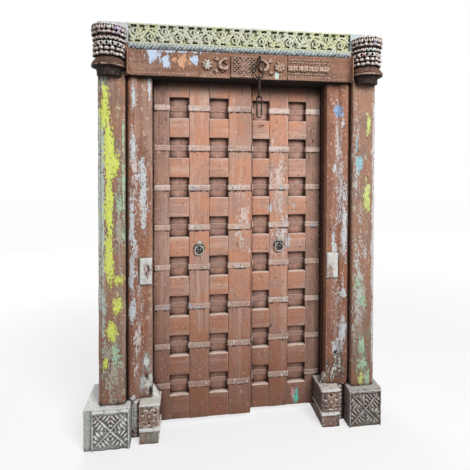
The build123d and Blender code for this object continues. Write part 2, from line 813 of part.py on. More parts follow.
# Hasp staple: a small bent wire on the right leaf that the chain is hooked to.
def make_hasp():
    with BuildPart() as hasp:
        with BuildLine(Plane.XY.offset(hasp_height)) as path:
            turn_y = right_face_y - hasp_depth + hasp_half_width
            turn = bend((hasp_place, turn_y), hasp_half_width, 180, 180)
            Polyline((hasp_place - hasp_half_width, right_face_y), *turn,
                     (hasp_place + hasp_half_width, right_face_y))
        with BuildSketch(Plane(origin=path.line @ 0, z_dir=path.line % 0)):
            RegularPolygon(hasp_wire, bar_sides)
        sweep(transition=Transition.RIGHT)
    save(hasp.part, "right_hasp_staple")


for side, prefix, face_y in ((-1, "left", left_face_y), (1, "right", right_face_y)):
    make_jamb(side, prefix + "_jamb", face_y)
    make_jamb_block(side, prefix + "_jamb_block")
    make_jamb_base(side, prefix + "_jamb_base", face_y)
    make_pilaster(side, prefix + "_pilaster")
    make_plinth(side, prefix + "_plinth", worn_strip_width if side < 0 else 0)
    make_capital(side, prefix + "_capital")
    make_pull(side, prefix, face_y)
make_lintel()
make_rope()
make_frieze()
make_leaf(-1, "left", left_face_y, -meeting_offset, middle_stile_edges[0] - recess_width)
make_leaf(1, "right", right_face_y, meeting_offset + meeting_gap, right_lip_edge)
make_chain()
make_hasp()
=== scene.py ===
# Carved teak double door with its frame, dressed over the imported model.
import json
import math

import bmesh
import bpy
from mathutils import Matrix, Vector, noise

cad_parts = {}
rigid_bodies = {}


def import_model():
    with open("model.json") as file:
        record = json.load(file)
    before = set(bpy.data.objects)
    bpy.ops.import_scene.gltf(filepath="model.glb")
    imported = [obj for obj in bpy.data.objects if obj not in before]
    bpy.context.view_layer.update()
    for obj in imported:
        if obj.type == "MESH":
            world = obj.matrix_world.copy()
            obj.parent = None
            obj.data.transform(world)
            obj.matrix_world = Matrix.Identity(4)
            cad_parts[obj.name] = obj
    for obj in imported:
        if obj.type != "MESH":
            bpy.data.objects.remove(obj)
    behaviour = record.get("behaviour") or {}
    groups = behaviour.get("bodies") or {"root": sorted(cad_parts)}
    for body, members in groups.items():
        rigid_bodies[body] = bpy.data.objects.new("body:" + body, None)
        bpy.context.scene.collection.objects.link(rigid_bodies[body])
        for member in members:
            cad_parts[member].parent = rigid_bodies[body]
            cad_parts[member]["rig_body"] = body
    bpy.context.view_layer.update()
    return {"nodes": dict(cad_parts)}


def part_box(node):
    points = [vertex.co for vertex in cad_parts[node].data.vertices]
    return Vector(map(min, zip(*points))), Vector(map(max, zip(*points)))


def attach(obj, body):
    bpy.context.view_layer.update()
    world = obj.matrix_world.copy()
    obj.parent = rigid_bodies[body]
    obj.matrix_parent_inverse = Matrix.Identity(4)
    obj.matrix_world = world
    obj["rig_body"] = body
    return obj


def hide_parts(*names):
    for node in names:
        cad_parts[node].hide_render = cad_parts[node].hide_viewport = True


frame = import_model()
nodes = frame["nodes"]

# Plinths: squared teak blocks under the pilasters, carved on the front with a lattice and leaves.
# They stand on the ground, so the old paint is gone there, and the wood is grey and soft-edged.


class Signal:
    """One socket in a material's node tree. Sums of signals add Math nodes."""

    def __init__(self, tree, socket):
        self.tree = tree
        self.socket = socket

    def node(self, kind, settings, sockets, output=0):
        """Add a node of any type, with its settings and its sockets' values or links."""
        made = self.tree.nodes.new("ShaderNode" + kind)
        for name, value in settings.items():
            setattr(made, name, value)
        for name, value in sockets.items():
            if isinstance(value, Signal):
                self.tree.links.new(value.socket, made.inputs[name])
            else:
                made.inputs[name].default_value = value
        return Signal(self.tree, made.outputs[output])

    def math(self, operation, first, second):
        return self.node("Math", {"operation": operation}, {0: first, 1: second})

    def __add__(self, other):
        return self.math("ADD", self, other)

    def __sub__(self, other):
        return self.math("SUBTRACT", self, other)

    def __rsub__(self, other):
        return self.math("SUBTRACT", other, self)

    def __mul__(self, other):
        return self.math("MULTIPLY", self, other)

    def larger(self, other):
        return self.math("MAXIMUM", self, other)

    __radd__ = __add__
    __rmul__ = __mul__


def tint(red, green, blue):
    """A colour as a screen shows it, in the shader's linear values."""
    linear = [((level / 255 + 0.055) / 1.055) ** 2.4 for level in (red, green, blue)]
    return (*linear, 1.0)


def fade(value, low, high):
    """Ease from 0 at low to 1 at high."""
    return value.node("MapRange", {"interpolation_type": "SMOOTHSTEP"},
                      {"Value": value, "From Min": low, "From Max": high})


def mottle(place, scale, stretch=(1, 1, 1), detail=4.0):
    """Cloudy noise, drawn out along the grain by its stretch."""
    along = place.node("Mapping", {}, {"Vector": place, "Scale": stretch})
    return place.node("TexNoise", {}, {"Vector": along, "Scale": scale, "Detail": detail, "Roughness": 0.6})


def along_axis(vector, axis):
    """One of the three parts of a vector."""
    return vector.node("SeparateXYZ", {}, {"Vector": vector}, axis)


def lay(under, over, cover):
    """Lay one colour over another where the cover is 1."""
    return cover.node("Mix", {"data_type": "RGBA"}, {0: cover, 6: under, 7: over}, 2)


def flakes(place, areas, cut):
    """Flaked paint: ragged noise, with more of it in areas given by middle X, Z and half sizes."""
    inside = None
    for x, z, half_x, half_z in areas:
        away = place.node("Mapping", {}, {"Vector": place, "Scale": (1 / half_x, 0, 1 / half_z),
                                          "Location": (-x / half_x, 0, -z / half_z)})
        depth = 1 - place.node("VectorMath", {"operation": "LENGTH"}, {0: away}, 1)
        inside = depth if inside is None else inside.larger(depth)
    inside = inside.larger(-1.1)
    torn = mottle(place, 34, (1, 1, 0.28), 6.0) * 2.2 + mottle(place, 130, (1, 1, 0.5), 5.0) * 2.2 - 2.2
    return fade(inside * 0.6 + torn, cut, cut + 0.16)


def old_finish(name, coats, grain, layers=(), edge=tint(214, 190, 170), wear_and_highlight_strength=0.8, hollow_dirt_and_shade=0.85, scuffs=0.6,
               hollow=0.03, dirt_and_shade_colour=tint(38, 24, 17), carved=False, splash=0.5, crown_wear_and_highlight=0.0, underside_shade=0.93,
               upward_wear_and_highlight=0.0, lintel_shadow=0.0, set_back_shade=None, cracks=0.0):
    """Old paint: mottled coats, older coats showing, rubbed edges with painted highlights, dirt and painted shade
    in corners, painted shade under things, and dirt near the ground.
    """
    finish = bpy.data.materials.new(name)
    finish.use_nodes = True
    tree = finish.node_tree
    shader = tree.nodes["Principled BSDF"]
    place = Signal(tree, tree.nodes.new("ShaderNodeTexCoord").outputs["Object"])
    # Four coats, mixed by clouds, and by streaks and fibres along the grain
    cloud = mottle(place, 6.0)
    streak = mottle(place, 24.0, grain, 6.0)
    fibre = mottle(place, 150.0, grain, 5.0)
    speck = mottle(place, 95.0, detail=5.0)
    colour = lay(coats[0], coats[1], fade(cloud, 0.4, 0.6))
    colour = lay(colour, coats[2], fade(streak, 0.5, 0.64) * 0.8)
    colour = lay(colour, coats[3], fade(fibre, 0.54, 0.7) * 0.6)
    # Mud thrown up from the ground, and cracks along the grain
    height = along_axis(place, "Z")
    mud = fade(height + cloud * 0.5 + streak * 0.2, 1.3, 0.35) * splash
    colour = lay(colour, tint(104, 64, 48), mud)
    split = mottle(place, 16.0, grain, 2.0) - 0.5
    crack = fade(split.math("ABSOLUTE", split, 0), 0.006, 0.0) * fade(cloud, 0.45, 0.6) * cracks
    colour = lay(colour, dirt_and_shade_colour, crack * 0.8)
    relief = streak * 0.3 + fibre * 0.3 + speck * 0.2 - crack
    # Older coats where the paint has flaked off, but not on faces that look backwards
    facing = place.node("NewGeometry", {}, {}, "True Normal")
    own_way = {"vector_type": "NORMAL", "convert_from": "WORLD", "convert_to": "OBJECT"}
    own_facing = place.node("VectorTransform", own_way, {"Vector": facing})
    slope = along_axis(own_facing, "Z")
    front = fade(along_axis(own_facing, "Y"), 0.6, 0.1)
    for areas, hue, cut in layers:
        cover = flakes(place, areas, cut) * front
        speckled = lay(hue, coats[2], fade(speck, 0.55, 0.7) * 0.6)
        colour = lay(colour, speckled, cover)
        relief = relief - cover * 0.5
    # Pale scuffs and grit, dark chips and pits
    fleck = tint(214, 188, 168)
    scuff = fade(mottle(place, 60.0, (1, 1, 0.7), 8.0), 0.6, 0.67) * scuffs * (1 - mud * 0.8)
    colour = lay(colour, fleck, scuff)
    chip = fade(mottle(place, 70.0, (1, 1, 0.6), 6.0), 0.62, 0.69) * scuffs
    colour = lay(colour, dirt_and_shade_colour, chip * 0.8)
    pit = fade(mottle(place, 170.0, (1, 1, 0.6), 4.0), 0.57, 0.66) * scuffs
    colour = lay(colour, dirt_and_shade_colour, pit * 0.45)
    grit = fade(mottle(place, 140.0, (1, 1, 0.7), 5.0), 0.58, 0.67) * scuffs * (1 - mud * 0.8)
    colour = lay(colour, fleck, grit * 0.6)
    # Painted shadow of the lintel across the tops of the leaves, and painted shade on faces that are set back
    lintel_shadow_foot, lintel_shadow_head = 1.685, 1.758
    lintel_shadow_cover = fade(height + streak * 0.03, lintel_shadow_foot, lintel_shadow_head) * lintel_shadow
    colour = lay(colour, dirt_and_shade_colour, lintel_shadow_cover)
    # Painted shade on faces set back behind the given depth
    if set_back_shade:
        back_y, back_shade = set_back_shade
        colour = lay(colour, back_shade, fade(along_axis(place, "Y"), back_y + 0.006, back_y + 0.018) * 0.85)
    # Edges rubbed pale, crowns and faces that look up rubbed pale with a painted highlight, dirt and painted shade
    # in hollows, and painted shade on faces that look down; the edge colour is also the highlight colour
    rounded = place.node("Bevel", {"samples": 6}, {"Radius": 0.006})
    turn = place.node("VectorMath", {"operation": "DOT_PRODUCT"}, {0: rounded, 1: facing}, 1)
    open_air = place.node("AmbientOcclusion", {"samples": 8}, {"Distance": hollow}, 1)
    wear_and_highlight = fade(1 - turn, 0.02, 0.2) * fade(speck + streak * 0.5, 0.45, 0.8) * fade(open_air, 0.5, 0.8)
    # Dirt and painted shade in hollows, from occlusion and from concave carving
    dirt_and_shade = fade(1 - open_air, 0.22, 0.7)
    if carved:
        sharpness = place.node("NewGeometry", {}, {}, "Pointiness")
        dirt_and_shade = dirt_and_shade.larger(fade(sharpness, 0.495, 0.44))
        wear_and_highlight = wear_and_highlight.larger(fade(sharpness, 0.505, 0.55) * fade(speck, 0.36, 0.54))
        # Crowns open to the air are rubbed pale and given a painted highlight
        wear_and_highlight = wear_and_highlight.larger(fade(open_air, 0.75, 0.97) * fade(speck, 0.35, 0.6) * crown_wear_and_highlight)
    dirt_and_shade = dirt_and_shade * hollow_dirt_and_shade
    # Faces that look up are paler, with wear and a painted highlight
    wear_and_highlight = wear_and_highlight.larger(fade(slope, 0.35, 0.7) * fade(speck + cloud * 0.5, 0.45, 0.7) * upward_wear_and_highlight)
    colour = lay(colour, edge, wear_and_highlight * wear_and_highlight_strength)
    # Painted shade on faces that look down
    dirt_and_shade = dirt_and_shade.larger(fade(slope, -0.5, -0.85) * underside_shade)
    colour = lay(colour, dirt_and_shade_colour, dirt_and_shade)
    tree.links.new(colour.socket, shader.inputs["Base Color"])
    tree.links.new((0.85 - streak * 0.25 + dirt_and_shade * 0.1).socket, shader.inputs["Roughness"])
    shader.inputs["Specular IOR Level"].default_value = 0.3
    bump = place.node("Bump", {}, {"Height": relief - chip * 0.6 - scuff * 0.3, "Strength": 0.6,
                                   "Distance": 0.004, "Normal": rounded})
    tree.links.new(bump.socket, shader.inputs["Normal"])
    return finish


def join(bm, part):
    """Add a small finished shape to a larger one."""
    scratch = bpy.data.meshes.new("scratch")
    part.to_mesh(scratch)
    part.free()
    bm.from_mesh(scratch)
    bpy.data.meshes.remove(scratch)


def lump(bm, half_sizes, matrix, point=0.0):
    """Add a rounded lump of carving, with its length along X and its ends drawn to a point."""
    part = bmesh.new()
    bmesh.ops.create_uvsphere(part, u_segments=12, v_segments=8, radius=1.0)
    bmesh.ops.rotate(part, verts=part.verts, cent=(0, 0, 0), matrix=Matrix.Rotation(math.pi / 2, 3, "Y"))
    for vert in part.verts:
        narrow = 1 - point * vert.co.x ** 2
        vert.co.y *= narrow
        vert.co.z *= narrow
    bmesh.ops.scale(part, vec=half_sizes, verts=part.verts)
    bmesh.ops.transform(part, matrix=matrix, verts=part.verts)
    join(bm, part)


def on_front(x, y, z, turn=0.0):
    """A place on a front face, turned anticlockwise in degrees as seen from the front."""
    return Matrix.Translation((x, y, z)) @ Matrix.Rotation(-math.radians(turn), 4, "Y")


def bar(bm, half_sizes, matrix):
    """Add a squared bar or block."""
    made = bmesh.ops.create_cube(bm, size=2.0)["verts"]
    bmesh.ops.scale(bm, vec=half_sizes, verts=made)
    bmesh.ops.transform(bm, matrix=matrix, verts=made)


def soften(bm, cell, passes):
    """Rebuild carving as one skin of small cells, then smooth it as years of wear do."""
    mesh = bpy.data.meshes.new("rough")
    bm.to_mesh(mesh)
    bm.free()
    rough = bpy.data.objects.new("rough", mesh)
    bpy.context.scene.collection.objects.link(rough)
    cells = rough.modifiers.new("cells", "REMESH")
    cells.mode = "VOXEL"
    cells.voxel_size = cell
    skin = bmesh.new()
    skin.from_object(rough, bpy.context.evaluated_depsgraph_get())
    bpy.data.objects.remove(rough)
    bpy.data.meshes.remove(mesh)
    for step in range(passes):
        bmesh.ops.smooth_vert(skin, verts=skin.verts, factor=0.5,
                              use_axis_x=True, use_axis_y=True, use_axis_z=True)
    return skin


def wander(bm, reach, spacing):
    """Move the skin in and out a little, as hand tools and wear leave it."""
    bm.normal_update()
    for vert in bm.verts:
        vert.co += vert.normal * noise.noise(vert.co / spacing) * reach


def put(bm, name, finish, like, replaced=True):
    """Turn a finished bmesh into a piece that rides on its part's body, and hide that part when the piece replaces
    it.
    """
    mesh = bpy.data.meshes.new(name)
    bm.to_mesh(mesh)
    bm.free()
    mesh.shade_smooth()
    sharp_angle = math.radians(38)
    mesh.set_sharp_from_angle(angle=sharp_angle)
    mesh.materials.append(finish)
    piece = bpy.data.objects.new(name, mesh)
    bpy.context.scene.collection.objects.link(piece)
    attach(piece, nodes[like]["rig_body"])
    if replaced:
        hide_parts(like)


along_z = (1, 1, 0.06)
sides = {"left": -1, "right": 1}
plinth_coats = (tint(158, 156, 150), tint(142, 134, 128), tint(118, 108, 102), tint(196, 196, 190))
far_coats = (tint(112, 92, 84), tint(96, 78, 70), tint(80, 64, 58), tint(142, 128, 120))
worn_strip = ((-0.712, 0.1, 0.03, 0.16),)
plinth_red = ((-0.655, 0.155, 0.03, 0.03), (-0.60, 0.15, 0.03, 0.03), (0.62, 0.12, 0.05, 0.05))
plinth_green = ((-0.55, 0.05, 0.04, 0.05), (0.66, 0.04, 0.05, 0.04))
plinth_layers = ((worn_strip, tint(164, 170, 160), 0.0), (plinth_red, tint(136, 96, 84), 0.1),
                 (plinth_green, tint(112, 118, 100), 0.1))
plinth_finishes = {}
# The plinths' crowns and faces that look up carry wear and a painted highlight
for name, coats, rubbed in (("left", plinth_coats, tint(238, 240, 238)),
                            ("right", far_coats, tint(192, 188, 184))):
    plinth_finishes[name] = old_finish(
        name + "_grey_carved_wood", coats, along_z, plinth_layers, edge=rubbed, wear_and_highlight_strength=1.0, hollow_dirt_and_shade=1.0, hollow=0.018,
        carved=True, splash=0.0, crown_wear_and_highlight=0.42, upward_wear_and_highlight=1.0, dirt_and_shade_colour=tint(24, 21, 19))
carving_depth, weathered_width = 0.012, 0.036
crack_foot, crack_head = 0.093, 0.098
nests, first_nest, nest_pitch = 6, 0.006, 0.0215
for name, side in sides.items():
    low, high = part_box(name + "_plinth")
    ground_y = low.y + carving_depth
    strip = weathered_width if side < 0 else 0.0
    bm = bmesh.new()
    bar(bm, ((high.x - low.x - strip) / 2, (high.y - ground_y) / 2, high.z / 2),
        Matrix.Translation(((low.x + high.x + strip) / 2, (ground_y + high.y) / 2, high.z / 2)))
    if strip:
        # The far edge has weathered back to a smooth strip, with one crack across it
        for foot, head in ((0.0, crack_foot), (crack_head, high.z)):
            bar(bm, (strip / 2 + 0.004, (high.y - ground_y) / 2 - 0.002, (head - foot) / 2),
                Matrix.Translation((low.x + strip / 2 + 0.004, (ground_y + high.y) / 2 + 0.002, (head + foot) / 2)))
    middle_x, middle_z = (low.x + strip + high.x) / 2, high.z / 2 - 0.004
    reach_x, reach_z = (high.x - low.x - strip) / 2 - 0.006, high.z / 2 - 0.010
    for edge in (-1, 1):
        bar(bm, (0.003, 0.008, reach_z + 0.004), on_front(middle_x + edge * reach_x, ground_y, middle_z))
        lump(bm, (math.hypot(reach_x, reach_z) - 0.004, 0.0115, 0.0042),
             on_front(middle_x, ground_y, middle_z, edge * math.degrees(math.atan2(reach_z, reach_x))))
    bar(bm, (reach_x + 0.002, 0.010, 0.006), on_front(middle_x, ground_y, middle_z + reach_z))
    for quarter in range(4):
        heading = 90 * quarter
        for nest in range(1, nests + 1):
            away = first_nest + nest * nest_pitch
            start, end = max(0.0025, away - reach_x + 0.007), away / 2 - 0.006
            if end - start > 0.005:
                half_way = (start + end) / 2
                for arm in (-1, 1):
                    spot = Matrix.Rotation(math.radians(heading), 2) @ Vector((away - half_way, arm * half_way))
                    lump(bm, ((end - start) * 0.75, 0.0112, 0.0052),
                         on_front(middle_x + spot.x, ground_y, middle_z + spot.y, heading - arm * 45), 0.2)
    bm = soften(bm, 0.0028, 1)
    wander(bm, 0.0022, 0.03)
    put(bm, name + "_plinth_carved", plinth_finishes[name], name + "_plinth")

# Jamb bases: carved teak blocks under the jambs, each with a collar, a ledge and the lower pivot's socket.
# The wood is reddish where the carving keeps its paint, and white along the worn ledges.


def copy_solid(node):
    """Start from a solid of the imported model, with its loose triangles joined."""
    bm = bmesh.new()
    bm.from_mesh(nodes[node].data)
    bmesh.ops.remove_doubles(bm, verts=bm.verts, dist=1e-5)
    bmesh.ops.dissolve_limit(bm, angle_limit=math.radians(1), verts=bm.verts, edges=bm.edges)
    return bm


def leaf(bm, x, y, z, turn, length, width, rise):
    """Carve a split leaf from its root: two slender lobes with a groove between them."""
    for lobe in (-1, 1):
        lobe_turn = turn + lobe * 7
        middle = on_front(x, y, z, lobe_turn) @ Matrix.Translation((length / 2, 0, lobe * width * 0.17))
        lump(bm, (length / 2, rise, width * 0.27), middle, 0.45)


centre_x = 0.018
base_coats = (tint(150, 98, 80), tint(122, 88, 76), tint(162, 126, 112), tint(92, 64, 54))
base_pale = ((-0.434, 0.069, 0.2, 0.010), (0.470, 0.069, 0.2, 0.007), (-0.43, 0.188, 0.2, 0.010),
             (0.47, 0.188, 0.2, 0.006), (-0.400, 0.215, 0.022, 0.04), (-0.506, 0.11, 0.012, 0.08))
base_green = ((-0.434, 0.03, 0.08, 0.03),)
dark_base_coats = (tint(134, 84, 62), tint(108, 72, 58), tint(150, 110, 92), tint(78, 52, 42))
base_black = ((0.435, 0.215, 0.05, 0.035), (0.43, 0.14, 0.03, 0.07), (0.52, 0.06, 0.03, 0.09))
base_layers = ((base_green, tint(122, 120, 106), 0.05), (base_black, tint(44, 34, 28), 0.12),
               (base_pale, tint(234, 240, 238), -0.1))
base_finishes = {}
# The right base's faces set back behind its front are painted darker as shade
for name, coats, base_rebate_shade in (("left", base_coats, None), ("right", dark_base_coats, (-0.066, tint(70, 45, 35)))):
    base_finishes[name] = old_finish(
        name + "_carved_base_wood", coats, along_z, base_layers, edge=tint(230, 224, 216), wear_and_highlight_strength=1.0, hollow_dirt_and_shade=1.0,
        hollow=0.016, carved=True, splash=0.15, crown_wear_and_highlight=0.2, upward_wear_and_highlight=0.9, dirt_and_shade_colour=tint(30, 18, 14), set_back_shade=base_rebate_shade)
petal_y, corner_y, stroke_y, bead_y = -0.070, -0.068, -0.069, -0.026
petal_start, corner_start = 0.008, 0.026
for name, side in sides.items():
    bm = copy_solid(name + "_jamb_base")
    middle_x, middle_z = centre_x + side * 0.452, 0.128
    for petal in range(6):
        turn = 60 * petal
        leaf(bm, middle_x + petal_start * math.cos(math.radians(turn)), petal_y,
             middle_z + petal_start * math.sin(math.radians(turn)), turn, 0.031, 0.017, 0.006)
    lump(bm, (0.009, 0.008, 0.009), on_front(middle_x, petal_y, middle_z))
    for corner in range(4):
        turn = 45 + 90 * corner
        leaf(bm, middle_x + corner_start * math.cos(math.radians(turn)), corner_y,
             middle_z + corner_start * math.sin(math.radians(turn)), turn, 0.022, 0.012, 0.005)
    for stroke in range(8):
        slant = 55 if stroke < 4 else -55
        lump(bm, (0.017, 0.006, 0.004), on_front(middle_x - 0.036 + stroke * 0.0103, stroke_y, 0.031, slant), 0.2)
    for bead in range(9):
        lump(bm, (0.010, 0.008, 0.0095), on_front(centre_x + side * 0.518, bead_y, 0.016 + bead * 0.02))
    bm = soften(bm, 0.0028, 2)
    wander(bm, 0.002, 0.03)
    put(bm, name + "_jamb_base_carved", base_finishes[name], name + "_jamb_base")

# Jambs: rebated teak posts with a flat inner strip and a rounded outer part, and a small nailed block.
# Brown paint peels off in tall ragged patches, down to older white and pale blue coats.


def hew(node, edge, step, reach):
    """Copy a squared timber, round its edges and let its faces wander as hand-cut wood does."""
    bm = copy_solid(node)
    corner = math.radians(25)
    sharp = [line for line in bm.edges if line.is_manifold and line.calc_face_angle() > corner]
    bmesh.ops.bevel(bm, geom=sharp, offset=edge, affect="EDGES", segments=2, profile=0.5, material=-1,
                    clamp_overlap=True)
    for axis in range(3):
        levels = [vert.co[axis] for vert in bm.verts]
        count = round((max(levels) - min(levels)) / step)
        across = Vector((axis == 0, axis == 1, axis == 2))
        for cut in range(1, count):
            level = min(levels) + (max(levels) - min(levels)) * cut / count
            bmesh.ops.bisect_plane(bm, geom=bm.verts[:] + bm.edges[:] + bm.faces[:], dist=1e-6,
                                   plane_co=across * level, plane_no=across)
    wander(bm, reach, 0.09)
    wander(bm, reach * 0.6, 0.035)
    return bm


jamb_coats = (tint(164, 110, 84), tint(142, 98, 80), tint(178, 144, 128), tint(108, 72, 58))
pale_blue = tint(210, 215, 219)
left_jamb_pale = ((-0.463, 1.195, 0.021, 0.149), (-0.506, 1.645, 0.014, 0.067), (-0.509, 1.411, 0.012, 0.057),
                  (-0.512, 1.036, 0.014, 0.135), (-0.515, 0.785, 0.012, 0.116), (-0.511, 0.625, 0.019, 0.058),
                  (-0.462, 0.271, 0.019, 0.044), (-0.514, 0.202, 0.014, 0.020), (-0.434, 1.709, 0.007, 0.067))
right_jamb_pale = ((0.538, 1.540, 0.011, 0.021), (0.545, 1.033, 0.019, 0.187), (0.502, 0.899, 0.014, 0.073),
                   (0.542, 0.663, 0.019, 0.021), (0.540, 0.454, 0.025, 0.058), (0.514, 0.366, 0.022, 0.047),
                   (0.499, 1.313, 0.011, 0.026))
right_jamb_blue = ((0.512, 1.612, 0.024, 0.028), (0.530, 1.585, 0.016, 0.016))
left_flecks = ((-0.508, 1.15, 0.03, 0.75), (-0.49, 0.5, 0.03, 0.3))
right_flecks = ((0.525, 1.2, 0.03, 0.6), (0.53, 0.5, 0.04, 0.4))
left_foot_grey = ((-0.445, 0.265, 0.034, 0.07), (-0.452, 0.36, 0.024, 0.06))
foot_holes = ((-0.448, 0.302, 0.007, 0.012), (-0.430, 0.226, 0.007, 0.016), (0.508, 0.355, 0.007, 0.009))
right_foot_grey = ((0.50, 0.265, 0.05, 0.06), (0.52, 0.33, 0.03, 0.05))
# Painted shade on the jamb faces set back beside and behind the leaves
jamb_rebate_shade = (0.0, tint(44, 26, 19))
fleck_pink = tint(216, 202, 200)
fleck_red = tint(98, 56, 46)
# Black patches painted as the shade inside holes in the jamb feet
hole_shade_black = tint(26, 26, 25)
left_jamb_layers = ((left_flecks, fleck_red, 0.28), (left_flecks, fleck_pink, 0.3),
                    (left_jamb_pale, pale_blue, -0.03), (left_foot_grey, tint(160, 160, 150), 0.1),
                    (left_foot_grey, tint(66, 54, 48), 0.36), (left_foot_grey, tint(222, 226, 220), 0.34),
                    (foot_holes, hole_shade_black, -0.1))
right_jamb_layers = ((right_flecks, fleck_red, 0.32), (right_flecks, fleck_pink, 0.33),
                     (right_jamb_pale, pale_blue, 0.0), (right_jamb_blue, tint(150, 182, 222), 0.12),
                     (right_foot_grey, tint(74, 74, 64), 0.12), (right_foot_grey, tint(214, 214, 206), 0.34),
                     (foot_holes, hole_shade_black, -0.1))
jamb_finishes = {}
for name, layers in (("left", left_jamb_layers), ("right", right_jamb_layers)):
    jamb_finishes[name] = old_finish(name + "_jamb_paint", jamb_coats, along_z, layers, scuffs=0.9,
                                     set_back_shade=jamb_rebate_shade)
block_coats = (tint(222, 226, 220), tint(206, 204, 196), tint(228, 232, 228), tint(168, 150, 140))
block_middle = ((-0.441, 0.812, 0.016, 0.048), (0.478, 0.785, 0.018, 0.04))
block_marks = ((-0.437, 0.826, 0.005, 0.02), (-0.448, 0.80, 0.004, 0.016))
block_layers = ((block_middle, tint(170, 140, 128), 0.02), (block_marks, tint(44, 38, 40), 0.0))
block_finish = old_finish("jamb_block_paint", block_coats, along_z, block_layers, wear_and_highlight_strength=1.0,
                          edge=tint(240, 243, 240), scuffs=0.9, splash=0.1)
for name in sides:
    put(hew(name + "_jamb", 0.0025, 0.04, 0.0014), name + "_jamb_post", jamb_finishes[name], name + "_jamb")
    put(hew(name + "_jamb_block", 0.002, 0.012, 0.0012), name + "_jamb_pad", block_finish,
        name + "_jamb_block")

# Pilasters: flat teak boards nailed beside the jambs, with a lower strip along the outer edge.
# A yellow-green coat shows in tall ragged patches, with mint edges and a pale strip at the side.
pilaster_coats = (tint(164, 122, 100), tint(146, 116, 100), tint(182, 158, 144), tint(112, 82, 68))
acid = tint(226, 238, 112)
mint = tint(178, 208, 178)
left_yellow = ((-0.638, 1.588, 0.014, 0.074), (-0.617, 1.394, 0.016, 0.19), (-0.590, 1.330, 0.018, 0.04),
               (-0.617, 1.137, 0.016, 0.16), (-0.617, 0.875, 0.018, 0.089), (-0.574, 0.784, 0.018, 0.019),
               (-0.581, 0.661, 0.018, 0.033), (-0.604, 0.540, 0.020, 0.040), (-0.634, 0.390, 0.011, 0.019))
left_mint = ((-0.573, 1.137, 0.014, 0.042), (-0.550, 1.254, 0.007, 0.281), (-0.584, 0.425, 0.021, 0.052))
left_strip = ((-0.648, 1.2, 0.02, 0.7),)
left_grey = ((-0.60, 0.36, 0.08, 0.32), (-0.57, 1.0, 0.03, 0.6))
right_pale = ((0.62, 0.7, 0.05, 0.6), (0.60, 1.35, 0.03, 0.35))
right_yellow = ((0.665, 1.538, 0.011, 0.056), (0.657, 1.164, 0.021, 0.077), (0.634, 0.226, 0.014, 0.042))
right_mint = ((0.614, 0.718, 0.022, 0.031), (0.637, 0.620, 0.022, 0.031), (0.638, 0.392, 0.019, 0.052),
              (0.639, 0.309, 0.027, 0.036), (0.667, 0.229, 0.014, 0.042))
right_foot_green = ((0.645, 0.36, 0.05, 0.22),)
right_blue = ((0.603, 1.420, 0.010, 0.046), (0.620, 1.343, 0.022, 0.041))
right_strip = ((0.697, 1.0, 0.012, 0.95),)
left_pilaster_layers = ((left_grey, fleck_red, 0.34), (left_grey, tint(176, 170, 156), 0.28),
                        (left_strip, tint(194, 208, 200), 0.0), (left_mint, mint, 0.02),
                        (left_yellow, acid, -0.18))
right_pilaster_layers = ((right_pale, fleck_red, 0.4), (right_pale, tint(204, 202, 198), 0.3),
                         (right_strip, tint(208, 206, 208), 0.05), (right_foot_green, tint(152, 164, 142), 0.22),
                         (right_foot_green, tint(66, 62, 58), 0.42), (right_mint, mint, 0.02),
                         (right_yellow, tint(204, 218, 130), 0.0), (right_blue, tint(150, 200, 214), 0.04))
pilaster_finishes = {}
for name, layers in (("left", left_pilaster_layers), ("right", right_pilaster_layers)):
    pilaster_finishes[name] = old_finish(name + "_pilaster_paint", pilaster_coats, along_z, layers, scuffs=0.9)
for name in sides:
    put(hew(name + "_pilaster", 0.002, 0.045, 0.0014), name + "_pilaster_board", pilaster_finishes[name],
        name + "_pilaster")

# Lintel: one heavy teak beam on the jambs, with a carved middle, a lip along its foot and coves at its ends.
# The brown paint has flaked to pale blue at the left, and an orange coat shows between.


def coat(node, finish):
    """Give a solid its finish and keep its shape."""
    mesh = nodes[node].data
    mesh.materials.clear()
    mesh.materials.append(finish)


def stem(bm, x, y, z, heading, width, arcs):
    """Carve a round stem through arcs, each with its radius, its turn and the width it ends with."""
    part = bmesh.new()
    sideways = Matrix.Rotation(math.radians(90 - heading), 4, "Y")
    bmesh.ops.create_circle(part, cap_ends=True, segments=8, radius=width / 2,
                            matrix=Matrix.Translation((x, y, z)) @ sideways)
    last = part.verts[:] + part.edges[:] + part.faces[:]
    for radius, turn, end_width in arcs:
        steps = max(2, round(abs(turn) / 18))
        sense = math.copysign(1, turn)
        lean = math.radians(heading + 90 * sense)
        centre = Vector((x + radius * math.cos(lean), y, z + radius * math.sin(lean)))
        thin = (end_width / width) ** (1 / steps)
        for step in range(steps):
            last = bmesh.ops.spin(part, geom=last, cent=centre, axis=(0, -1, 0), dvec=(0, 0, 0),
                                  angle=math.radians(turn / steps), steps=1, use_merge=False)["geom_last"]
            heading += turn / steps
            lean = math.radians(heading - 90 * sense)
            x, z = centre.x + radius * math.cos(lean), centre.z + radius * math.sin(lean)
            bmesh.ops.scale(part, vec=(thin, thin, thin), space=Matrix.Translation((-x, -y, -z)),
                            verts=[end for end in last if isinstance(end, bmesh.types.BMVert)])
        width = end_width
    bmesh.ops.recalc_face_normals(part, faces=part.faces)
    join(bm, part)
    return x, z


along_x = (0.06, 1, 1)
lintel_coats = (tint(140, 100, 79), tint(126, 91, 74), tint(164, 126, 107), tint(94, 67, 53))
lintel_blue = ((-0.418, 1.853, 0.034, 0.036), (-0.351, 1.811, 0.02, 0.03), (-0.217, 1.828, 0.018, 0.024),
               (-0.297, 1.866, 0.12, 0.01))
lintel_mint = ((-0.157, 1.804, 0.014, 0.024), (0.186, 1.769, 0.015, 0.024))
lintel_orange = ((-0.278, 1.821, 0.038, 0.028),)
lintel_mint_layer = (lintel_mint, tint(200, 216, 210), 0.1)
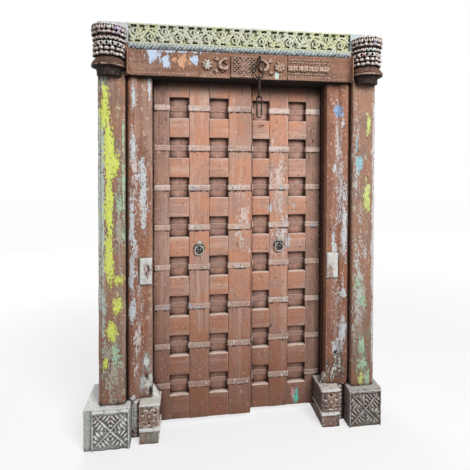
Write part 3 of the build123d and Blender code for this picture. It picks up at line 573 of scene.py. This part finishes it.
# The lintel's faces that look down are painted near black as shade
lintel_finish = old_finish("lintel_paint", lintel_coats, along_x,
                           ((lintel_orange, tint(214, 162, 128), -0.12),
                            (lintel_blue, tint(198, 214, 236), -0.02), lintel_mint_layer),
                           edge=tint(198, 160, 138), hollow=0.02, underside_shade=1.0, dirt_and_shade_colour=tint(22, 13, 9))
carved_lintel_finish = old_finish("carved_lintel_paint", lintel_coats, along_x, (lintel_mint_layer,),
                                  edge=tint(230, 204, 186), hollow=0.012, hollow_dirt_and_shade=1.0, carved=True, crown_wear_and_highlight=0.8,
                                  dirt_and_shade_colour=tint(30, 18, 13))
coat("lintel", lintel_finish)
fascia_y = -0.066
lintel_middle = 1.8045
bm = bmesh.new()
for side in (-1, 1):
    # Bird: a curled body that is thickest at the foot, a head with its beak, and a tail
    bird_x = centre_x + side * 0.104
    stem(bm, bird_x - side * 0.006, fascia_y - 0.008, lintel_middle + 0.024, 90 - side * 96, 0.012,
         ((0.022, -side * 95, 0.017), (0.021, -side * 95, 0.021), (0.016, -side * 80, 0.008)))
    lump(bm, (0.015, 0.012, 0.009),
         on_front(bird_x - side * 0.012, fascia_y - 0.007, lintel_middle + 0.027, 90 + side * 62), 0.5)
    leaf(bm, bird_x + side * 0.016, fascia_y - 0.004, lintel_middle + 0.018, 90 - side * 50, 0.03, 0.016, 0.008)
    leaf(bm, bird_x + side * 0.022, fascia_y - 0.004, lintel_middle - 0.022, -90 + side * 50, 0.026, 0.014, 0.008)
    # Flower beside the bird
    flower_x = centre_x + side * 0.178
    for petal in range(8):
        leaf(bm, flower_x, fascia_y - 0.004, lintel_middle, 45 * petal, 0.03, 0.015, 0.008)
    lump(bm, (0.008, 0.011, 0.008), on_front(flower_x, fascia_y - 0.004, lintel_middle))
# Panel with a diaper of small crossed leaves, and beads along its foot
panel_left, panel_foot, panel_y = centre_x - 0.0505, 1.768, -0.0745
for column in range(12):
    for row in range(9):
        crossed = 45 if (column + row) % 2 else -45
        lump(bm, (0.0062, 0.006, 0.0026),
             on_front(panel_left + column * 0.0092, panel_y, panel_foot + row * 0.0095, crossed), 0.4)
for bead in range(13):
    lump(bm, (0.0044, 0.008, 0.0055), on_front(centre_x - 0.060 + bead * 0.010, -0.076, 1.751))
# Run of carved flowers and buds on the right part
for flower in range(8):
    x = centre_x + 0.232 + flower * 0.0265
    for petal in range(4):
        leaf(bm, x, fascia_y - 0.003, lintel_middle - 0.002, 45 + 90 * petal, 0.019, 0.012, 0.006)
    lump(bm, (0.005, 0.008, 0.005), on_front(x, fascia_y - 0.003, lintel_middle - 0.002))
    for level in (-0.043, -0.029, 0.026, 0.040):
        for along in (0.0, 0.0133):
            tilt = 40 if (level > 0) == (along > 0) else -25
            lump(bm, (0.0072, 0.0042, 0.0036),
                 on_front(x + along, fascia_y - 0.0015, lintel_middle + level, tilt), 0.4)
# Row of nail heads along the foot of the left part
for nail in range(18):
    lump(bm, (0.004, 0.005, 0.003), on_front(-0.498 + nail * 0.0225, -0.067, 1.756 + 0.001 * (nail % 3)))
bm = soften(bm, 0.0019, 1)
wander(bm, 0.0008, 0.012)
put(bm, "lintel_carving", carved_lintel_finish, "lintel", False)

# Capitals: half-round teak blocks on the pilasters, each with a coved foot and a rim, and carved with rows
# of beads, flowers and leaves.
# The bead crowns are rubbed pale with a painted highlight, and black dirt and painted shade lie between them.
# The foot's brown coats are darkened with painted shade, a black painted shade lies under the rim, and a painted
# highlight runs along the rim's lip
foot_shaded_coats = (tint(110, 75, 60), tint(94, 66, 55), tint(84, 60, 50), tint(66, 47, 40))
foot_underside_shade = ((centre_x, 1.744, 3.0, 0.026),)
rim_lip_highlight = ((centre_x, 1.775, 3.0, 0.0045),)
foot_finish = old_finish("capital_foot_paint", foot_shaded_coats, along_x,
                         ((foot_underside_shade, tint(28, 19, 14), -0.2), (rim_lip_highlight, tint(198, 170, 150), 0.16)),
                         edge=tint(206, 178, 160), wear_and_highlight_strength=0.7, scuffs=0.2, hollow=0.016,
                         dirt_and_shade_colour=tint(26, 17, 12))
tier_coats = (tint(132, 100, 86), tint(116, 94, 84), tint(170, 150, 138), tint(84, 62, 52))
tier_teal = ((-0.605, 1.875, 0.05, 0.022), (-0.60, 1.945, 0.02, 0.016), (0.64, 1.89, 0.03, 0.02))
tier_red = ((-0.660, 1.872, 0.014, 0.014), (-0.585, 1.912, 0.012, 0.01), (0.60, 1.87, 0.014, 0.012))
tier_lilac = ((-0.562, 1.935, 0.016, 0.022), (0.66, 1.93, 0.016, 0.014))
tier_finish = old_finish("capital_tier_paint", tier_coats, along_z,
                         ((tier_teal, tint(148, 176, 168), 0.1), (tier_red, tint(160, 70, 74), 0.1),
                          (tier_lilac, tint(168, 146, 190), 0.1)),
                         edge=tint(250, 242, 236), wear_and_highlight_strength=1.0, hollow_dirt_and_shade=1.0, hollow=0.013, dirt_and_shade_colour=tint(20, 12, 8),
                         carved=True, crown_wear_and_highlight=0.85)


def turned(place, profile):
    """Spin half a profile of radii and heights about an upright axis on the frame's face."""
    part = bmesh.new()
    corners = [part.verts.new(place + Vector((-radius, 0, z))) for radius, z in profile]
    outline = part.faces.new(corners)
    bmesh.ops.spin(part, geom=[outline] + outline.edges[:] + corners, cent=place, axis=(0, 0, 1),
                   dvec=(0, 0, 0), angle=math.pi, steps=32, use_merge=False)
    bmesh.ops.remove_doubles(part, verts=part.verts, dist=1e-6)
    bmesh.ops.recalc_face_normals(part, faces=part.faces)
    return part


def round_place(place, angle, radius, z, turn=0.0):
    """A place on a half-round, given by its angle from the front, and turned there in degrees."""
    swung = Matrix.Translation(place) @ Matrix.Rotation(math.radians(angle), 4, "Z")
    return swung @ on_front(0, -radius, z, turn)


foot_profile = ((0.0, 1.734), (0.056, 1.734), (0.056, 1.754), (0.060, 1.764), (0.072, 1.768), (0.080, 1.773),
                (0.0805, 1.781), (0.076, 1.792), (0.068, 1.803), (0.060, 1.812), (0.0, 1.812))
tier_profile = ((0.0, 1.806), (0.053, 1.806), (0.054, 1.866), (0.060, 1.920), (0.066, 1.948), (0.078, 1.951),
                (0.078, 1.957), (0.0, 1.957))
bead_rows = ((0.063, 1.825, 9, 0.0098, 0.5), (0.064, 1.847, 9, 0.0098, 0.0), (0.069, 1.917, 10, 0.0085, 0.5))
capital_out, capital_y = 0.630, -0.060
flower_z, bud_z, upright_z = 1.871, 1.894, 1.939
for name, side in sides.items():
    place = Vector((centre_x + side * capital_out, capital_y, 0.0))
    bm = soften(turned(place, foot_profile), 0.0025, 1)
    wander(bm, 0.0016, 0.03)
    put(bm, name + "_capital_foot", foot_finish, name + "_capital")
    bm = turned(place, tier_profile)
    for radius, z, count, half_z, shift in bead_rows:
        for bead in range(count):
            angle = -90 + 180 * (bead + shift) / (count if shift else count - 1)
            lump(bm, (0.0112, 0.0115, half_z), round_place(place, angle, radius, z + 0.002 * (bead % 2)))
    for flower in range(8):
        angle = -80 + 160 * flower / 7
        for petal in range(4):
            outward = round_place(place, angle, 0.062, flower_z, 45 + 90 * petal)
            lump(bm, (0.0078, 0.010, 0.0046), outward @ Matrix.Translation((0.0072, 0, 0)), 0.3)
        lump(bm, (0.0042, 0.012, 0.0042), round_place(place, angle, 0.064, flower_z))
    for bud in range(11):
        angle = -84 + 168 * bud / 10
        for lobe in (-1, 1):
            outward = round_place(place, angle + lobe * 4, 0.065, bud_z, 90 - lobe * 24)
            lump(bm, (0.0105, 0.010, 0.0046), outward, 0.3)
    for upright in range(10):
        angle = -81 + 162 * upright / 9
        for lobe in (-1, 1):
            outward = round_place(place, angle + lobe * 4, 0.071, upright_z, 90 - lobe * 12)
            lump(bm, (0.0115, 0.010, 0.0056), outward, 0.3)
    bm = soften(bm, 0.0019, 1)
    wander(bm, 0.0014, 0.02)
    put(bm, name + "_capital_tiers", tier_finish, name + "_capital", False)

# Rope moulding: a batten of teak, carved as a twisted rope and nailed along the top of the lintel.
# Pale blue and white paint lies on the strands, dirt and painted shade lie between them, and a painted shadow runs
# along the rope's foot.
rope_coats = (tint(150, 162, 160), tint(134, 144, 140), tint(174, 184, 184), tint(100, 108, 104))
# A dark band along the rope's foot is a painted shadow
rope_foot_shadow = ((centre_x, 1.866, 3.0, 0.010),)
rope_finish = old_finish("rope_paint", rope_coats, along_x, ((rope_foot_shadow, tint(36, 42, 48), -0.12),),
                         edge=tint(226, 234, 236), wear_and_highlight_strength=1.0, hollow_dirt_and_shade=1.0, hollow=0.014,
                         dirt_and_shade_colour=tint(34, 40, 44), carved=True, crown_wear_and_highlight=0.4)
rope_half, rope_middle, rope_y = 0.546, 1.879, -0.066
strands, rope_pitch, rope_lay = 60, 0.018, 52
bm = bmesh.new()
bar(bm, (rope_half, 0.004, 0.0138), Matrix.Translation((centre_x, -0.063, rope_middle)))
for strand in range(strands):
    x = centre_x - rope_half + 0.012 + strand * rope_pitch
    lump(bm, (0.0165, 0.009, 0.0072), on_front(x, rope_y, rope_middle, rope_lay))
bm = soften(bm, 0.002, 1)
wander(bm, 0.001, 0.03)
put(bm, "rope_moulding_carved", rope_finish, "rope_moulding")

# Frieze: a teak board nailed on top of the lintel, carved with a running vine, curls and leaves, and plain
# at both ends.
# Yellow-green paint lies in the carving under a white coat, and the plain ends are pale blue.
frieze_coats = (tint(172, 176, 114), tint(180, 182, 158), tint(150, 156, 92), tint(198, 200, 186))
frieze_finish = old_finish("frieze_paint", frieze_coats, along_x, edge=tint(230, 232, 220), wear_and_highlight_strength=1.0, hollow_dirt_and_shade=1.0,
                           hollow=0.011, dirt_and_shade_colour=tint(40, 42, 30), carved=True, crown_wear_and_highlight=0.55)
end_coats = (tint(186, 196, 200), tint(198, 206, 208), tint(172, 182, 184), tint(208, 214, 214))
end_finish = old_finish("frieze_end_paint", end_coats, along_x, edge=tint(218, 224, 224))
lintel_top, frieze_top, frieze_half, field_half = 1.893, 1.991, 0.686, 0.546
half_board, half_field = 0.049, 0.047
frieze_middle = (lintel_top + frieze_top) / 2
bm = bmesh.new()
bar(bm, (frieze_half, 0.021, half_board), Matrix.Translation((centre_x, -0.021, frieze_middle)))
end_half = (frieze_half - field_half) / 2
for side in (-1, 1):
    end_x = centre_x + side * (field_half + end_half)
    bar(bm, (end_half, 0.012, half_board), Matrix.Translation((end_x, -0.048, frieze_middle)))
bm = soften(bm, 0.005, 1)
wander(bm, 0.0016, 0.06)
put(bm, "frieze_backing", end_finish, "frieze_board")
bm = bmesh.new()
bar(bm, (field_half, 0.003, half_field), Matrix.Translation((centre_x, -0.042, frieze_middle)))
for edge in (-1, 1):
    bar(bm, (field_half, 0.010, 0.0045), Matrix.Translation((centre_x, -0.050, frieze_middle + edge * 0.0443)))
ground_y, bays, margin, swing = -0.050, 16, 0.008, 0.026
bay = 2 * (field_half - margin) / bays
curl_radius = 0.023
arc_radius = (bay * bay / 4 + swing * swing) / (2 * swing)
arc_turn = 2 * math.degrees(math.asin(bay / 2 / arc_radius))
for index in range(bays):
    start = centre_x - field_half + margin + index * bay
    up = 1 if index % 2 else -1
    heading = up * arc_turn / 2
    # The vine, its curl with a bud at the end, and the leaves on both
    stem(bm, start, ground_y - 0.004, frieze_middle, heading, 0.010, ((arc_radius, -up * arc_turn, 0.010),))
    x, z = stem(bm, start + 0.004, ground_y - 0.004, frieze_middle, heading - up * 8, 0.009,
                ((0.021, -up * 200, 0.0082), (0.015, -up * 150, 0.0072), (0.009, -up * 160, 0.006)))
    lump(bm, (0.006, 0.010, 0.006), on_front(x, ground_y, z - up * 0.002))
    root_x, root_z = start + bay * 0.62, frieze_middle + up * 0.012
    for turn, length in ((-100, 0.040), (-62, 0.040), (-26, 0.028), (-138, 0.026), (90, 0.024)):
        leaf(bm, root_x, ground_y, root_z, up * turn, length, 0.0185, 0.0105)
    for turn, away in ((160, 0.2), (120, 0.3), (60, 0.72), (20, 0.8)):
        leaf(bm, start + bay * away, ground_y, frieze_middle + up * 0.024, up * turn, 0.021, 0.015, 0.0100)
    for turn in (-170, -130, -90, -50):
        angle = math.radians(up * turn)
        leaf(bm, start + 0.017 + curl_radius * math.cos(angle), ground_y,
             frieze_middle - up * 0.012 + curl_radius * math.sin(angle), up * turn, 0.016, 0.014, 0.0095)
bm = soften(bm, 0.0023, 1)
wander(bm, 0.001, 0.02)
put(bm, "frieze_carving", frieze_finish, "frieze_board", False)

# Leaves: stiles and short rails of teak round two columns of recesses, nailed to back planks and ledges.
# Terracotta paint has faded to salmon, with rubbed edges, dirt and painted shade in every recess, and the lintel's
# painted shadow across the tops.
leaf_coats = (tint(204, 146, 118), tint(188, 148, 132), tint(210, 172, 154), tint(146, 104, 84))
leaf_white = ((0.281, 0.912, 0.022, 0.043), (0.18, 1.10, 0.02, 0.03), (0.445, 1.10, 0.012, 0.035))
leaf_blue = ((0.285, 0.89, 0.012, 0.02),)
leaf_teal = ((0.327, 0.083, 0.016, 0.04),)
leaf_pink = ((0.317, 0.092, 0.022, 0.05),)
leaf_worn = ((0.225, 1.2, 0.06, 0.4), (0.03, 1.05, 0.05, 0.25))
rows, row_pitch, first_strap_foot = 8, 0.2, 1.594
strap_rust = [(centre_x, first_strap_foot - row_pitch * row, 0.9, 0.0065) for row in range(rows)]
rust_layer = (strap_rust, tint(84, 56, 44), 0.26)
leaf_speckle = ((0.235, 0.95, 0.10, 0.26), (0.32, 0.80, 0.05, 0.10))
leaf_layers = ((leaf_worn, tint(220, 200, 190), 0.34), (leaf_speckle, tint(126, 66, 60), 0.44),
               (leaf_speckle, tint(226, 216, 214), 0.46), (leaf_white, tint(216, 218, 222), 0.1),
               (leaf_blue, tint(150, 188, 200), 0.3), (leaf_pink, tint(212, 160, 164), 0.24),
               (leaf_teal, tint(104, 204, 184), 0.16), rust_layer)
leaf_dirt_and_shade = tint(30, 17, 12)
# The leaves carry the lintel's painted shadow near their tops
upright_finish = old_finish("leaf_upright_paint", leaf_coats, along_z, leaf_layers, wear_and_highlight_strength=1.0, scuffs=0.7,
                            lintel_shadow=0.95, cracks=1.0, splash=0.72, dirt_and_shade_colour=leaf_dirt_and_shade)
# The rails' faces that look up carry wear and a painted highlight
level_finish = old_finish("leaf_rail_paint", leaf_coats, along_x, leaf_layers, wear_and_highlight_strength=1.0, scuffs=0.7,
                          lintel_shadow=0.95, edge=tint(238, 216, 202), upward_wear_and_highlight=1.0, cracks=0.6, splash=0.72,
                          dirt_and_shade_colour=leaf_dirt_and_shade)
edge_coats = (tint(174, 134, 116), tint(156, 122, 108), tint(188, 158, 144), tint(122, 90, 74))
# A black line painted along each hanging stile's outer edge is the shade in the gap beside the jamb
hanging_gap_shade = ((-0.4215, 0.9, 0.0045, 9.0), (0.4575, 0.9, 0.0045, 9.0))
hanging_finish = old_finish("hanging_stile_paint", edge_coats, along_z,
                            (rust_layer, (hanging_gap_shade, tint(16, 11, 9), 0.05)), scuffs=0.7, lintel_shadow=0.95,
                            hollow=0.06, cracks=1.0, splash=0.72, dirt_and_shade_colour=leaf_dirt_and_shade)
back_coats = (tint(184, 140, 122), tint(166, 128, 114), tint(196, 160, 146), tint(128, 94, 80))
# The back planks get strong painted shade from the recess walls around them
back_finish = old_finish("back_board_paint", back_coats, along_z, wear_and_highlight_strength=0.5, hollow_dirt_and_shade=0.95, hollow=0.045,
                         dirt_and_shade_colour=tint(22, 10, 7))
for name in sides:
    put(hew(name + "_hanging_stile", 0.0015, 0.04, 0.0012), name + "_hanging_stile_hewn", hanging_finish,
        name + "_hanging_stile")
    for part in ("_middle_stile", "_meeting_stile"):
        put(hew(name + part, 0.0015, 0.04, 0.0012), name + part + "_hewn", upright_finish, name + part)
    for part in ("_outer_rails", "_inner_rails"):
        put(hew(name + part, 0.0035, 0.033, 0.0012), name + part + "_hewn", level_finish, name + part)
    for part in ("_boards", "_ledges"):
        put(hew(name + part, 0.0015, 0.06, 0.001), name + part + "_hewn", back_finish, name + part)

# Straps: flat forged iron bent over the stiles and down into the recesses, with dome-headed nails.
# They carry the same paint, rubbed greyer, with rust at the edges.
strap_coats = (tint(212, 180, 164), tint(196, 160, 144), tint(228, 210, 200), tint(146, 112, 96))
strap_all = ((centre_x, 0.9, 4.0, 4.0),)
strap_blue = ((-0.21, 1.194, 0.06, 0.03), (-0.21, 0.594, 0.07, 0.03), (0.26, 1.194, 0.05, 0.03),
              (0.30, 0.794, 0.12, 0.03), (0.43, 0.994, 0.05, 0.03), (-0.37, 0.594, 0.05, 0.03))
nail_rows = {"left": (-0.040, -0.001, 0.036, 0.084, 0.200, 0.240, 0.311, 0.378, 0.418),
             "right": (0.108, 0.190, 0.236, 0.311, 0.378, 0.418)}
recess_nails, recess_depth = (0.084, 0.108, 0.311), 0.030
first_recess_top, strap_drop = 1.663, 0.051
leaf_faces = {"left": 0.030, "right": 0.068}
# Where a strap dips into a recess it is painted darker as shade
for name, side in sides.items():
    face_y = leaf_faces[name]
    strap_finish = old_finish(name + "_strap_paint", strap_coats, along_x,
                              ((strap_all, tint(134, 92, 76), 0.84), (strap_all, tint(226, 216, 214), 0.7),
                               (strap_blue, tint(196, 196, 206), 0.26)), edge=tint(228, 216, 208), wear_and_highlight_strength=1.0,
                              set_back_shade=(face_y, tint(164, 124, 108)))
    bm = bmesh.new()
    for row in range(rows):
        coat("%s_strap_%d" % (name, row + 1), strap_finish)
        z = first_recess_top - row_pitch * row - strap_drop
        for index, across in enumerate(nail_rows[name]):
            sunk = recess_depth if across in recess_nails else 0.0
            uneven = 0.003 if (row + index) % 2 else -0.003
            lump(bm, (0.0048, 0.003, 0.0048),
                 on_front(centre_x + side * across, face_y - 0.003 + sunk, z + uneven))
    put(bm, name + "_strap_nails", strap_finish, name + "_strap_1", False)

# Ring pulls: lobed iron plates with bosses, nailed to the leaves, and a ring hanging in the eye of each.
# The plates are dull, and the forged rings are rubbed pale where hands touch them.
plate_coats = (tint(72, 70, 64), tint(56, 54, 50), tint(104, 104, 96), tint(36, 33, 30))
plate_finish = old_finish("dull_plate_iron", plate_coats, along_z, edge=tint(150, 150, 142), hollow=0.016,
                          splash=0.0)
ring_coats = (tint(196, 192, 184), tint(172, 168, 160), tint(214, 212, 206), tint(120, 112, 104))
ring_finish = old_finish("rubbed_ring_iron", ring_coats, along_z, edge=tint(232, 234, 230), hollow=0.006,
                         splash=0.0, scuffs=0.4, underside_shade=0.0)
ring_radius, ring_thick = 0.022, 0.0032
bosses, boss_circle, eye_rise, plate_rise = 8, 0.019, 0.036, 0.022
for name in sides:
    coat(name + "_pull_plate", plate_finish)
    low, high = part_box(name + "_ring")
    middle = (low + high) / 2
    boss_y = leaf_faces[name] - 0.003
    bm = bmesh.new()
    lump(bm, (0.0125, 0.007, 0.0125), on_front(middle.x, boss_y, middle.z + eye_rise))
    for boss in range(bosses):
        angle = math.radians(22.5 + 45 * boss)
        lump(bm, (0.0042, 0.004, 0.0042), on_front(middle.x + boss_circle * math.cos(angle), boss_y,
                                                   middle.z + plate_rise + boss_circle * math.sin(angle)))
    put(bm, name + "_pull_bosses", ring_finish, name + "_pull_plate", False)
    bm = bmesh.new()
    ring_top = Matrix.Translation(middle + Vector((0, 0, ring_radius))) @ Matrix.Rotation(math.pi / 2, 4, "Y")
    bmesh.ops.create_circle(bm, segments=14, radius=ring_thick, matrix=ring_top)
    bmesh.ops.spin(bm, geom=bm.verts[:] + bm.edges[:], cent=middle, axis=(0, 1, 0), dvec=(0, 0, 0),
                   angle=2 * math.pi, steps=40, use_merge=True)
    bmesh.ops.remove_doubles(bm, verts=bm.verts, dist=1e-6)
    bmesh.ops.recalc_face_normals(bm, faces=bm.faces)
    wander(bm, 0.0006, 0.01)
    put(bm, name + "_ring_forged", ring_finish, name + "_ring")

# Door chain: three long forged links on a staple driven into the lintel, and the staple on the leaf.
# The bars are bent and hammered, so their edges are round, and the iron is nearly black with brown rust.
chain_coats = (tint(34, 29, 27), tint(28, 24, 22), tint(58, 46, 40), tint(20, 17, 16))
chain_finish = old_finish("dark_iron", chain_coats, along_z, edge=tint(92, 84, 78), wear_and_highlight_strength=0.3, scuffs=0.3,
                          hollow=0.008, splash=0.0, underside_shade=0.0)
for node in ("chain_staple", "chain_link_1", "chain_link_2", "chain_link_3", "right_hasp_staple"):
    bm = soften(copy_solid(node), 0.0012, 6)
    wander(bm, 0.0005, 0.012)
    put(bm, node + "_forged", chain_finish, node)

# Floor, light and camera: a pale floor that glows away from the door, a large soft lamp above and in front,
# weaker ones at the side and behind, and the photograph's own view.
floor_size = 14.0
bm = bmesh.new()
bmesh.ops.create_grid(bm, x_segments=1, y_segments=1, size=floor_size)
floor_mesh = bpy.data.meshes.new("floor")
bm.to_mesh(floor_mesh)
bm.free()
floor = bpy.data.objects.new("floor", floor_mesh)
bpy.context.scene.collection.objects.link(floor)
pale = bpy.data.materials.new("pale_floor")
pale.use_nodes = True
surface = pale.node_tree.nodes["Principled BSDF"].inputs
surface["Base Color"].default_value = (0.4, 0.4, 0.4, 1.0)
surface["Roughness"].default_value = 0.9


def in_view(tree):
    """1 for what the camera sees, directly, in a mirror or through glass."""
    rays = tree.nodes.new("ShaderNodeLightPath").outputs
    seen = Signal(tree, rays["Is Camera Ray"])
    mirrored = Signal(tree, rays["Is Glossy Ray"])
    through = Signal(tree, rays["Is Transmission Ray"])
    return seen.larger(mirrored).larger(through)


# The glow is weaker round the door, so that its soft shadow stays on the floor
ground = Signal(pale.node_tree, pale.node_tree.nodes.new("ShaderNodeTexCoord").outputs["Object"])
distance = ground.node("VectorMath", {"operation": "LENGTH"}, {0: ground}, 1)
seen = in_view(pale.node_tree) * (fade(distance, 1.2, 5.0) * 0.22 + 0.6)
glow = seen.node("CombineColor", {}, {0: seen, 1: seen, 2: seen})
pale.node_tree.links.new(glow.socket, surface["Emission Color"])
surface["Emission Strength"].default_value = 1.0
floor_mesh.materials.append(pale)

scene = bpy.context.scene
scene.view_settings.view_transform = "Standard"
world = bpy.data.worlds.new("studio")
scene.world = world
world.use_nodes = True
sky = world.node_tree
sky.nodes["Background"].inputs["Color"].default_value = (1.0, 1.0, 1.0, 1.0)
sky.links.new((in_view(sky) * 0.75 + 0.25).socket, sky.nodes["Background"].inputs["Strength"])


def lamp(name, place, target, size, power):
    """A large soft lamp that faces a target."""
    light = bpy.data.lights.new(name, "AREA")
    light.size = size
    light.energy = power
    made = bpy.data.objects.new(name, light)
    made.location = place
    made.rotation_euler = (Vector(target) - Vector(place)).to_track_quat("-Z", "Y").to_euler()
    scene.collection.objects.link(made)


door_middle = (0.0, 0.0, 1.0)
lamp("window", (1.3, -3.0, 3.2), (0.0, 0.0, 1.2), 1.7, 135.0)
lamp("fill", (-2.2, -3.4, 1.6), door_middle, 2.6, 8.0)
lamp("behind", (-1.2, 3.4, 2.8), door_middle, 2.6, 70.0)

camera = bpy.data.cameras.new("photo_view")
picture_width, focal_length, drop = 470, 368.6, 61.0
camera.sensor_width = 36.0
camera.lens = focal_length / picture_width * camera.sensor_width
camera.shift_y = -drop / picture_width
eye_place = (-0.258, -1.841, 1.309)
yaw, pitch, roll = (math.radians(angle) for angle in (7.53, 0.87, 0.12))
ahead = Vector((math.sin(yaw), math.cos(yaw), 0))
level = Vector((math.cos(yaw), -math.sin(yaw), 0))
plumb = Vector((0, 0, 1))
forward = ahead * math.cos(pitch) - plumb * math.sin(pitch)
upward = ahead * math.sin(pitch) + plumb * math.cos(pitch)
right = level * math.cos(roll) + upward * math.sin(roll)
upward = upward * math.cos(roll) - level * math.sin(roll)
eye = bpy.data.objects.new("photo_view", camera)
turned_view = Matrix((right, upward, -forward)).transposed().to_4x4()
eye.matrix_world = Matrix.Translation(eye_place) @ turned_view
scene.collection.objects.link(eye)
scene.camera = eye
